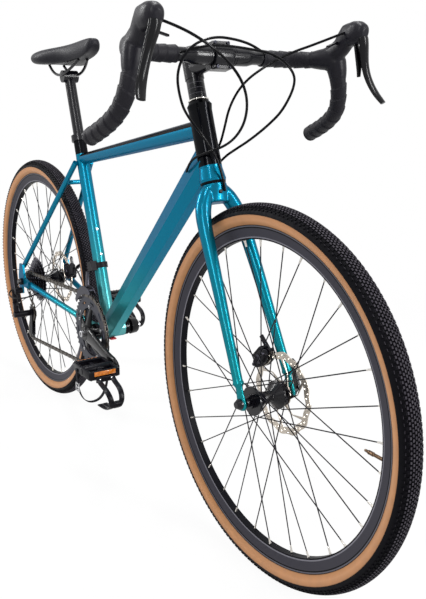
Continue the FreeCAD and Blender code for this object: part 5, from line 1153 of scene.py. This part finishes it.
CALIPER_RUN = ((-378.1, 52.9, 347.4), (-393, 54, 361), (-415, 56, 376), (-436, 57, 390), (-459.3, 57, 398.3))
HOUSING_RADIUS = 2.4 * MM
REAR_HOUSING_RADIUS = 2.2 * MM
HOUSING_STEPS = 10
# The housings from the bar to the frame, and the point of its route where each starts to bend
BENDING_HOUSINGS = (("right_shift_housing", RIGHT_SHIFT, 3), ("left_shift_housing", LEFT_SHIFT, 3),
                    ("rear_brake_housing", REAR_BRAKE, 6))


def make_housing(name, route, radius, body):
    """One cable housing along its route."""
    points = [mm(*place) for place in route]
    made = piece(name, line_mesh(points, radius, HOUSING_STEPS), body, "cable_housing", sheath)
    return made, points


def make_cables():
    """The cable housings, of which three run between the bar, which turns, and the frame, which doesn't, and
    are left on no body.
    """
    front, _ = make_housing("front_brake_housing", FRONT_BRAKE, HOUSING_RADIUS, "fork")
    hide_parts("handlebar_cables")
    for name, route, first in BENDING_HOUSINGS:
        made, points = make_housing(name, route, HOUSING_RADIUS, None)
        tuple(points[first])
        tuple(points[-2])
        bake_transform(made)
    loop, _ = make_housing("derailleur_housing", DERAILLEUR_LOOP, REAR_HOUSING_RADIUS, "frame")
    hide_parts("rear_cables")
    make_housing("rear_caliper_housing", CALIPER_RUN, REAR_HOUSING_RADIUS, "frame")


# Saddle, in mm

SADDLE_LENGTH = 272
SADDLE_HALF_WIDTH = 74
SADDLE_HEIGHT = 50
SADDLE_FOOT = SEAT_TOP + mm(-105, 0, 24)
SADDLE_LEVELS = 2
# Slices across the saddle: place along, half width, height of the top and of the underside, as shares
SADDLE_SLICES = (
    (0.0, 0.52, 0.80, 0.52), (0.03, 0.80, 0.90, 0.38), (0.08, 0.95, 0.95, 0.29), (0.16, 1.0, 0.965, 0.22),
    (0.26, 0.97, 0.965, 0.16), (0.36, 0.80, 0.96, 0.12), (0.46, 0.58, 0.955, 0.10), (0.56, 0.42, 0.955, 0.10),
    (0.68, 0.33, 0.96, 0.11), (0.82, 0.29, 0.965, 0.15), (0.92, 0.26, 0.95, 0.26), (0.97, 0.23, 0.92, 0.40),
    (1.0, 0.13, 0.84, 0.56),
)
# The outline of a slice, as shares of its half width and of its height, from the underside up to the crown
SADDLE_OUTLINE = ((0.0, 0.06), (0.45, 0.02), (0.78, 0.0), (0.93, 0.10), (1.0, 0.36), (0.97, 0.62),
                  (0.84, 0.85), (0.56, 0.97), (0.25, 1.0), (0.0, 0.985))
# The saddle's nose stands a little high
SADDLE_TILT = (Matrix.Translation(SEAT_TOP) @ Matrix.Rotation(-math.radians(5.3), 4, "Y")
               @ Matrix.Translation(-SEAT_TOP))
RAIL_RADIUS = 3.5
RAIL_REAR = -78
RAIL_FRONT = 92
RAIL_SPREAD = 22
RAIL_RISE = 26
# A rail's line as shares of its spread, its reach to the rear, its reach to the front and its rise
RAIL_LINE = ((0.9, 1, 0, 1.3), (1, 0.55, 0, 0), (1, 0, 0.5, 0.06), (0.5, 0, 1, 1))


def make_saddle():
    """A padded saddle, and the two rails that carry it."""
    rings = []
    for place, half, top, under in SADDLE_SLICES:
        foot = SADDLE_FOOT + AHEAD * SADDLE_LENGTH * place * MM
        low = under * SADDLE_HEIGHT
        high = top * SADDLE_HEIGHT
        left = [foot + mm(0, SADDLE_HALF_WIDTH * half * across, low + (high - low) * up)
                for across, up in SADDLE_OUTLINE]
        right = [Vector((p.x, -p.y, p.z)) for p in reversed(left[1:-1])]
        rings.append(left + right)
    bm = bmesh.new()
    loft(bm, rings)
    mesh = mesh_of(bm, "saddle_pad")
    mesh.transform(SADDLE_TILT)
    made = piece("saddle_pad", mesh, "seat_assembly", "saddle_cover", grained_vinyl,
                 stands_for=("saddle",), crease=80)
    smooth = made.modifiers.new("smooth", "SUBSURF")
    smooth.levels = SADDLE_LEVELS
    smooth.render_levels = SADDLE_LEVELS
    level = SEAT_TOP + UPWARD * RAIL_RADIUS * MM
    for name, side in SIDES.items():
        spread_mm = side * RAIL_SPREAD
        route = [level + mm(RAIL_REAR * rear + RAIL_FRONT * front, spread_mm * spread, RAIL_RISE * rise)
                 for spread, rear, front, rise in RAIL_LINE]
        mesh = line_mesh(route, RAIL_RADIUS * MM)
        mesh.transform(SADDLE_TILT)
        piece("saddle_rail_" + name, mesh, "seat_assembly", "black_alloy", satin_anodised)


# Chainrings, in mm and degrees

# Teeth, pitch radius, place across, thickness, inner radius and count of slots of each ring
CHAINRINGS = ((46, 93.05, -52.8, 3.0, 62, 10), (30, 60.75, -44.5, 2.6, 44, 0))
# A tooth's corners: share of the pitch and rise above the pitch radius
TOOTH = ((-0.3, -2.7), (-0.12, 2.6), (0.12, 2.6), (0.3, -2.7))
# A slot's corners: radius and angle
RING_SLOT = ((73.5, 0), (73.5, 4), (73.5, 8), (73.5, 12), (76, 16), (80, 17),
             (80, 13), (80, 9), (80, 5), (77.5, 1))


def ring_outlines(teeth, pitch_radius, inner, slots):
    """A toothed ring's edge, its middle hole and the long slots in its face."""
    edge = [polar(pitch_radius + rise, (tooth + share) * 360 / teeth) for tooth in range(teeth)
            for share, rise in TOOTH]
    outlines = [edge, [polar(inner, angle) for angle in range(0, 360, 6)]]
    for slot in range(slots):
        outlines.append([polar(radius, slot * 360 / slots + angle) for radius, angle in RING_SLOT])
    return outlines


def make_chainrings():
    """Two toothed rings, the outer one wide and slotted."""
    bm = bmesh.new()
    for teeth, pitch_radius, across, thickness, inner, slots in CHAINRINGS:
        add_plate(bm, ring_outlines(teeth, pitch_radius, inner, slots), thickness, CRANK_AXLE, across)
    piece("slotted_chainrings", bm, "crankset", "grey_steel", ring_steel, stands_for=("chainrings",),
          crease=30)


# Cranks, in mm and degrees

PEDAL_CENTRES = {"right": mm(67.5, -120, 281.1), "left": mm(-277.7, 120, 338.9)}
# Rows along a crank arm and along a spider arm: place along, out from the bike's middle, thickness, depth
CRANK_ROWS = ((-17, 65, 12, 22), (-8, 65, 16, 38), (12, 65, 17, 41), (40, 66, 16, 34), (90, 69, 14.5, 28),
              (145, 71.5, 13, 25.5), (172, 72, 12.5, 29), (184, 72, 12, 22), (189, 72, 8, 11))
SPIDER_ROWS = ((8, 61, 13, 30), (24, 59, 11, 22), (42, 55.5, 8, 16), (58, 51.5, 5.5, 14), (70, 49.2, 3.4, 13))
SPIDER_ANGLES = (18, 90, 162, 234, 306)
SPINDLE_START = 12
SPINDLE_PROFILE = ((0, 12), (40, 12), (42, 21), (58, 20), (62, 17))
PEDAL_AXLE_START = -50
PEDAL_AXLE_PROFILE = ((0, 7), (12, 7), (14, 4.6), (80, 4.6))


def make_crank(name, side):
    """A forged crank arm with its boss, and on the right the spider that carries the chainrings."""
    outward = LEFTWARD * side

    def reaching(along):
        return lambda place, out: CRANK_AXLE + (along * place + outward * out) * MM

    reach = PEDAL_CENTRES[name] - CRANK_AXLE
    bm = bmesh.new()
    along = Vector((reach.x, 0, reach.z)).normalized()
    lofted_rows(bm, CRANK_ROWS, reaching(along), squareness=2.5, count=24, steps=6)
    turned_rod(bm, CRANK_AXLE + outward * SPINDLE_START * MM, outward, SPINDLE_PROFILE, steps=28)
    start = PEDAL_CENTRES[name] + outward * PEDAL_AXLE_START * MM
    turned_rod(bm, start, outward, PEDAL_AXLE_PROFILE, steps=18)
    if name == "right":
        for angle in SPIDER_ANGLES:
            turn = math.radians(angle)
            ray = Vector((math.cos(turn), 0, math.sin(turn)))
            lofted_rows(bm, SPIDER_ROWS, reaching(ray), squareness=2.8, count=16)
    piece("forged_crank_" + name, bm, "crankset", "gloss_black", gloss_black,
          stands_for=("crank_arm_" + name,), crease=50)


# Front derailleur cage, by radius, angle and place across from the crank axle, in mm and degrees

CAGE_ARC = (86, 92, 100, 108, 116, 124, 132, 140)
CAGE_INNER = 97.5
CAGE_OUTER = (101, 111, 117, 119, 118, 115, 111, 107)
CAGE_PLACES = (-57.6, -41.5)
CAGE_THICKNESS = 1.8
# Rods between the plates: radius and angle of each, and its own radius
CAGE_RODS = ((104, 137, 3.0), (115, 112, 3.4), (107, 92, 2.6))
CAGE_ROD_PLACE = -58
CAGE_ROD_LENGTH = 17
# Rows up the arm that carries the cage: radius, angle, place across, width and height
CAGE_ARM = ((113, 112, -40, 6, 18), (124, 112, -39, 7, 15), (140, 110, -37.5, 6, 13), (152, 108, -37, 5, 12))


def make_front_cage():
    """Two bent plates beside the chain, joined at the back and on top, with the arm that carries them."""
    bm = bmesh.new()
    outline = [polar(CAGE_INNER, angle) for angle in CAGE_ARC]
    outline += [polar(radius, angle) for radius, angle in reversed(tuple(zip(CAGE_OUTER, CAGE_ARC)))]
    for across in CAGE_PLACES:
        add_plate(bm, [outline], CAGE_THICKNESS, CRANK_AXLE, across)
    for radius, angle, thick in CAGE_RODS:
        start = round_axle(CRANK_AXLE, radius, angle, CAGE_ROD_PLACE)
        turned_rod(bm, start, LEFTWARD, ((0, thick), (CAGE_ROD_LENGTH, thick)), steps=12)
    lofted_rows(bm, CAGE_ARM, lambda *place: round_axle(CRANK_AXLE, *place), squareness=4.0, count=16)
    piece("cage_plates", bm, "front_derailleur_cage", "grey_steel", dark_steel,
          stands_for=("front_derailleur_cage",))


# Pedals, in mm

PEDAL_LENGTH = 92
PEDAL_WIDTH = 76
PEDAL_HEIGHT = 22
PEDAL_ROUND = 1.5
PEDAL_INSET = 4
PEDAL_END_INSET = 3
PEDAL_SIDE_WIDTH = 8
PEDAL_END_WIDTH = 10
PEDAL_RIB = (26, 9, 10)
PEDAL_RIB_PLACE = 24
BARREL_PROFILE = ((0, 8), (1.5, 9.5), (6, 11), (PEDAL_WIDTH - 4, 11), (PEDAL_WIDTH + 1, 9.5),
                  (PEDAL_WIDTH + 2, 8))
BARREL_OUT = 1
# Pointed grips: their size, and how far in the first one stands, their pitch and their count on each edge
GRIP_DROP = 2.2
GRIP_RISE = 1.2
GRIP_HEIGHT = 3.2
GRIP_FOOT_RADIUS = 2.6
GRIP_TOP_RADIUS = 0.8
END_GRIPS = (7, 8.86, 8)
SIDE_GRIPS = (16, 10, 7)
REFLECTOR = (2.4, 52, 10)
REFLECTOR_RISE = 4.4
REFLECTOR_OUT = 0.2
CLIP_GAP = 1.6
CLIP_REACH = 58
CLIP_DEPTH = 74
CLIP_BAR = (13, 3)
# A clip's bar: shares of the clip's reach and depth, and its place to the side
CLIP_LINE = ((0, 0.05, 17), (0, 0.16, 17), (0.75, 0.3, 16), (1, 0.62, 12), (0.6, 1, 8), (-0.35, 1.05, 6))
CLIP_FOOT = (3.2, 46, 13)
CLIP_FOOT_PLACE = mm(0.6, 0, -9)
CLIP_TOE = (14, 28, 12)
CLIP_TOE_PLACE = mm(CLIP_REACH * 0.83, 0, -CLIP_DEPTH * 0.72)
CLIP_SCREW_PLACE = (1.5, 14, -9.5)
CLIP_SCREW = ((0, 3.4), (1.4, 3.4), (2.2, 2.2))
STRAP_DEPTH = 78
STRAP_SIZE = (10, 2)
STRAP_BACK = -22
STRAP_GAP = 1.3
# A strap's line, as shares of its half width and of its depth
STRAP_LINE = ((1, -0.14), (1, 0.45), (0.5, 1), (-0.5, 1), (-1, 0.45), (-1, -0.14))
BUCKLE_DEPTH = 0.42
BUCKLE_OUT = 2
BUCKLE_RISES = (-9, 0, 9)
BUCKLE_BAR = (16, 2.6, 3)
BUCKLE_SIDE = (3, 2.6, 20)
BUCKLE_SIDE_PLACE = 7.5


def add_grips(bm, start, step, count, side_up):
    """A row of pointed grips along a pedal's edge."""
    flip = Matrix.Rotation(0 if side_up > 0 else math.pi, 4, "X")
    for index in range(count):
        place = Matrix.Translation(start + step * index + UPWARD * side_up * GRIP_RISE * MM)
        bmesh.ops.create_cone(bm, cap_ends=True, segments=4, radius1=GRIP_FOOT_RADIUS * MM,
                              radius2=GRIP_TOP_RADIUS * MM, depth=GRIP_HEIGHT * MM, matrix=place @ flip)


def make_pedal(name):
    """A cage pedal with reflectors, a toe clip under its front and a strap with its buckle."""
    centre = PEDAL_CENTRES[name]
    body = "pedal_" + name
    half_long = PEDAL_LENGTH / 2
    half_wide = PEDAL_WIDTH / 2
    end_middle = half_long - PEDAL_END_WIDTH / 2
    side_middle = half_wide - PEDAL_SIDE_WIDTH / 2
    cage = bmesh.new()
    for side in BOTH:
        add_box(cage, centre + mm(0, side * side_middle, 0),
                (PEDAL_LENGTH - PEDAL_INSET, PEDAL_SIDE_WIDTH, PEDAL_HEIGHT - PEDAL_INSET), PEDAL_ROUND)
        add_box(cage, centre + mm(side * end_middle, 0, 0),
                (PEDAL_END_WIDTH, PEDAL_WIDTH - PEDAL_INSET, PEDAL_HEIGHT - PEDAL_END_INSET), PEDAL_ROUND)
        add_box(cage, centre + mm(side * PEDAL_RIB_PLACE, 0, 0), PEDAL_RIB, PEDAL_ROUND)
        for face in BOTH:
            level = face * (PEDAL_HEIGHT / 2 - GRIP_DROP)
            inset, pitch, count = END_GRIPS
            start = centre + mm(side * end_middle, -half_wide + inset, level)
            add_grips(cage, start, mm(0, pitch, 0), count, face)
            inset, pitch, count = SIDE_GRIPS
            start = centre + mm(-half_long + inset, side * side_middle, level)
            add_grips(cage, start, mm(pitch, 0, 0), count, face)
    turned_rod(cage, centre - LEFTWARD * (half_wide + BARREL_OUT) * MM, LEFTWARD, BARREL_PROFILE)
    piece("pedal_cage_" + name, cage, body, "black_plastic", moulded_plastic, stands_for=(body,))
    lens = bmesh.new()
    for end in BOTH:
        place = centre + mm(end * (half_long + REFLECTOR_OUT), 0, REFLECTOR_RISE)
        add_box(lens, place, REFLECTOR, edge_round=0.8)
    piece("pedal_reflectors_" + name, lens, body, "black_plastic", amber)
    make_clip(name, centre, body)
    make_strap(name, centre, body)


def make_clip(name, centre, body):
    """A moulded toe clip: two bars that leave the pedal's front, meet at the toe and turn under."""
    front = centre + mm(PEDAL_LENGTH / 2 + CLIP_GAP, 0, 0)
    width, thickness = CLIP_BAR
    bm = bmesh.new()
    for side in BOTH:
        route = [front + mm(CLIP_REACH * ahead, side * spread, -CLIP_DEPTH * down)
                 for ahead, down, spread in CLIP_LINE]
        lofted_along(bm, line_points(route, 8), (width,) * 2, (thickness,) * 2, LEFTWARD, squareness=4.0,
                     count=12)
    add_box(bm, front + CLIP_FOOT_PLACE, CLIP_FOOT, edge_round=1.2)
    add_box(bm, front + CLIP_TOE_PLACE, CLIP_TOE, edge_round=3.0)
    piece("toe_clip_" + name, bm, body, "black_plastic", moulded_plastic, crease=50)
    screws = bmesh.new()
    ahead, spread, rise = CLIP_SCREW_PLACE
    for side in BOTH:
        turned_rod(screws, front + mm(ahead, side * spread, rise), AHEAD, CLIP_SCREW, steps=12)
    piece("toe_clip_screws_" + name, screws, body, "steel", bolt_steel)


def make_strap(name, centre, body):
    """A woven strap in a loop under the pedal, with a bright buckle on its outer side."""
    half = PEDAL_WIDTH / 2 + STRAP_GAP
    below = centre + mm(STRAP_BACK, 0, -PEDAL_HEIGHT / 2)
    route = [below + mm(0, -half * across, -STRAP_DEPTH * down) for across, down in STRAP_LINE]
    points = line_points(route, 10)
    width, thickness = STRAP_SIZE
    bm = bmesh.new()
    lofted_along(bm, points, (width,) * 2, (thickness,) * 2, AHEAD, squareness=5.0, count=12)
    piece("toe_strap_" + name, bm, body, "black_plastic", strap_nylon, crease=50)
    outer = SIDES[name]
    aim = below + mm(0, outer * half, -STRAP_DEPTH * BUCKLE_DEPTH)
    spot = min(points, key=lambda place: (place - aim).length) + mm(0, outer * BUCKLE_OUT, 0)
    buckle = bmesh.new()
    for rise in BUCKLE_RISES:
        add_box(buckle, spot + mm(0, 0, rise), BUCKLE_BAR, edge_round=0.8)
    for end in BOTH:
        add_box(buckle, spot + mm(end * BUCKLE_SIDE_PLACE, 0, 0), BUCKLE_SIDE, edge_round=0.8)
    piece("strap_buckle_" + name, buckle, body, "steel", bolt_steel)


# Bolts, caps and rings, in mm

RING_PLACE = 568.5
RING_PROFILE = ((0, 19.5), (0.6, 20.2), (2.2, 20.2), (2.9, 18.5))
PLUG_PLACE = (391, 10)
CROWN_PLUG_PROFILE = ((0, 4.6), (10, 4.6), (11, 3.4))
RING_BOLT_RADIUS = 66
RING_BOLT_PLACE = -54.2
CRANK_BOLT_PLACE = 74.5
BOTTLE_BOLT_PLACES = (192, 256)
BOTTLE_BOLT_OUT = 15.8
GUIDE_PLACE = mm(6, 0, -22)
GUIDE_SIZE = (26, 16, 4)


def make_fasteners():
    """The bolts of the chainrings, cranks and seat tube, the bearing ring, the crown's plug and a guide."""
    plug = bmesh.new()
    turned_rod(plug, on_steerer(*PLUG_PLACE), STEER_AHEAD, CROWN_PLUG_PROFILE, steps=18)
    piece("crown_plug", plug, "fork", "black_plastic", moulded_plastic)
    ring = bmesh.new()
    turned_rod(ring, on_steerer(RING_PLACE), STEER_UP, RING_PROFILE, steps=40)
    piece("bearing_ring", ring, "frame", "silver_alloy", plated_brass)
    bolts = bmesh.new()
    for angle in SPIDER_ANGLES:
        place = round_axle(CRANK_AXLE, RING_BOLT_RADIUS, angle, RING_BOLT_PLACE)
        add_bolt(bolts, place, -LEFTWARD, scale=1.2)
    for side in BOTH:
        add_bolt(bolts, CRANK_AXLE + mm(0, side * CRANK_BOLT_PLACE, 0), LEFTWARD * side, scale=2.6)
    piece("crank_bolts", bolts, "crankset", "steel", bolt_steel)
    guide = bmesh.new()
    add_box(guide, CRANK_AXLE + GUIDE_PLACE, GUIDE_SIZE, edge_round=1.4)
    piece("cable_guide", guide, "frame", "black_plastic", red_nylon)
    bosses = bmesh.new()
    for place in BOTTLE_BOLT_PLACES:
        add_bolt(bosses, CRANK_AXLE + SEAT_UP * place * MM + SEAT_AHEAD * BOTTLE_BOLT_OUT * MM, SEAT_AHEAD)
    piece("bottle_bolts", bosses, "frame", "steel", bolt_steel)


# Stage, in metres

FLOOR_SIZE = 14
# The floor takes the shadow near the wheels and goes over into plain white further out
FLOOR_GLOW = {"From Min": 0.8, "From Max": 2.2, "To Min": 0.93, "To Max": 1.0}
WORLD_LIGHT = {"To Min": 0.2, "To Max": 1.0}
WHITE = (1, 1, 1, 1)
LAMP_AIM = Vector((0, 0, 0.5))
# Strip lamps: place, width, height and power in watts
LAMPS = (
    ("key_lamp", (1.9, -2.4, 2.6), 0.2, 2.4, 48),
    ("side_lamp", (3.0, 1.6, 1.8), 0.2, 2.4, 80),
    ("back_lamp", (-2.2, -2.0, 2.4), 0.2, 2.4, 85),
    ("top_lamp", (0.2, 0.3, 3.4), 2.4, 0.2, 60),
)


def seen_directly(tree):
    """1 for what the camera, a mirror or glass sees, and 0 for the light that falls on the object."""
    rays = add(tree, "LightPath").node.outputs
    seen = add(tree, "Math", {}, {0: rays["Is Camera Ray"], 1: rays["Is Glossy Ray"]}, operation="MAXIMUM")
    return add(tree, "Math", {}, {0: seen, 1: rays["Is Transmission Ray"]}, operation="MAXIMUM")


def make_floor():
    """A pale floor that keeps a shadow."""
    mesh = bpy.data.meshes.new("floor")
    bm = bmesh.new()
    bmesh.ops.create_grid(bm, x_segments=1, y_segments=1, size=FLOOR_SIZE)
    bm.to_mesh(mesh)
    bm.free()
    floor = bpy.data.objects.new("floor", mesh)
    bpy.context.scene.collection.objects.link(floor)
    # Seamless paper: matt white that takes a soft shadow
    paper = bpy.data.materials.new("seamless_paper")
    paper.use_nodes = True
    tree = paper.node_tree
    tree.nodes.clear()
    seen = seen_directly(tree)
    place = add(tree, "TexCoord", output="Object")
    away = add(tree, "VectorMath", {}, {0: place}, operation="LENGTH")
    plain = add(tree, "MapRange", FLOOR_GLOW, {"Value": away})
    share = add(tree, "Math", {}, {0: seen, 1: plain}, operation="MULTIPLY")
    matt = add(tree, "BsdfDiffuse", {"Color": linear("#f4f4f4")})
    glow = add(tree, "Emission", {"Color": WHITE, "Strength": 1.0})
    mixed = add(tree, "MixShader", {}, {0: share, 1: matt, 2: glow})
    add(tree, "OutputMaterial", {}, {"Surface": mixed})
    mesh.materials.append(paper)


def make_surround():
    """A surround that is white to look at and throws a weaker light."""
    world = bpy.data.worlds.new("surround")
    bpy.context.scene.world = world
    world.use_nodes = True
    tree = world.node_tree
    tree.nodes.clear()
    strength = add(tree, "MapRange", WORLD_LIGHT, {"Value": seen_directly(tree)})
    sky = add(tree, "Background", {"Color": WHITE}, {"Strength": strength})
    add(tree, "OutputWorld", {}, {"Surface": sky})


def make_lamps():
    """Narrow lamps that draw bright lines along the tubes."""
    for name, place, wide, tall, power in LAMPS:
        lamp = bpy.data.lights.new(name, "AREA")
        lamp.shape = "RECTANGLE"
        lamp.size = wide
        lamp.size_y = tall
        lamp.energy = power
        holder = bpy.data.objects.new(name, lamp)
        holder.location = place
        holder.rotation_euler = (LAMP_AIM - Vector(place)).to_track_quat("-Z", "Y").to_euler()
        bpy.context.scene.collection.objects.link(holder)


make_camera()
make_cables()
finish_cad_nodes()
for wheel in AXLES:
    make_tyre(wheel)
    make_valve(wheel)
    make_nipples(wheel)
    make_rotor(wheel)
    make_caliper(wheel)
make_fork()
make_cockpit()
make_saddle()
make_chainrings()
for crank, turned_to in SIDES.items():
    make_crank(crank, turned_to)
make_front_cage()
for pedal in SIDES:
    make_pedal(pedal)
make_fasteners()
make_floor()
make_surround()
make_lamps()
bpy.context.scene.view_settings.view_transform = "Standard"
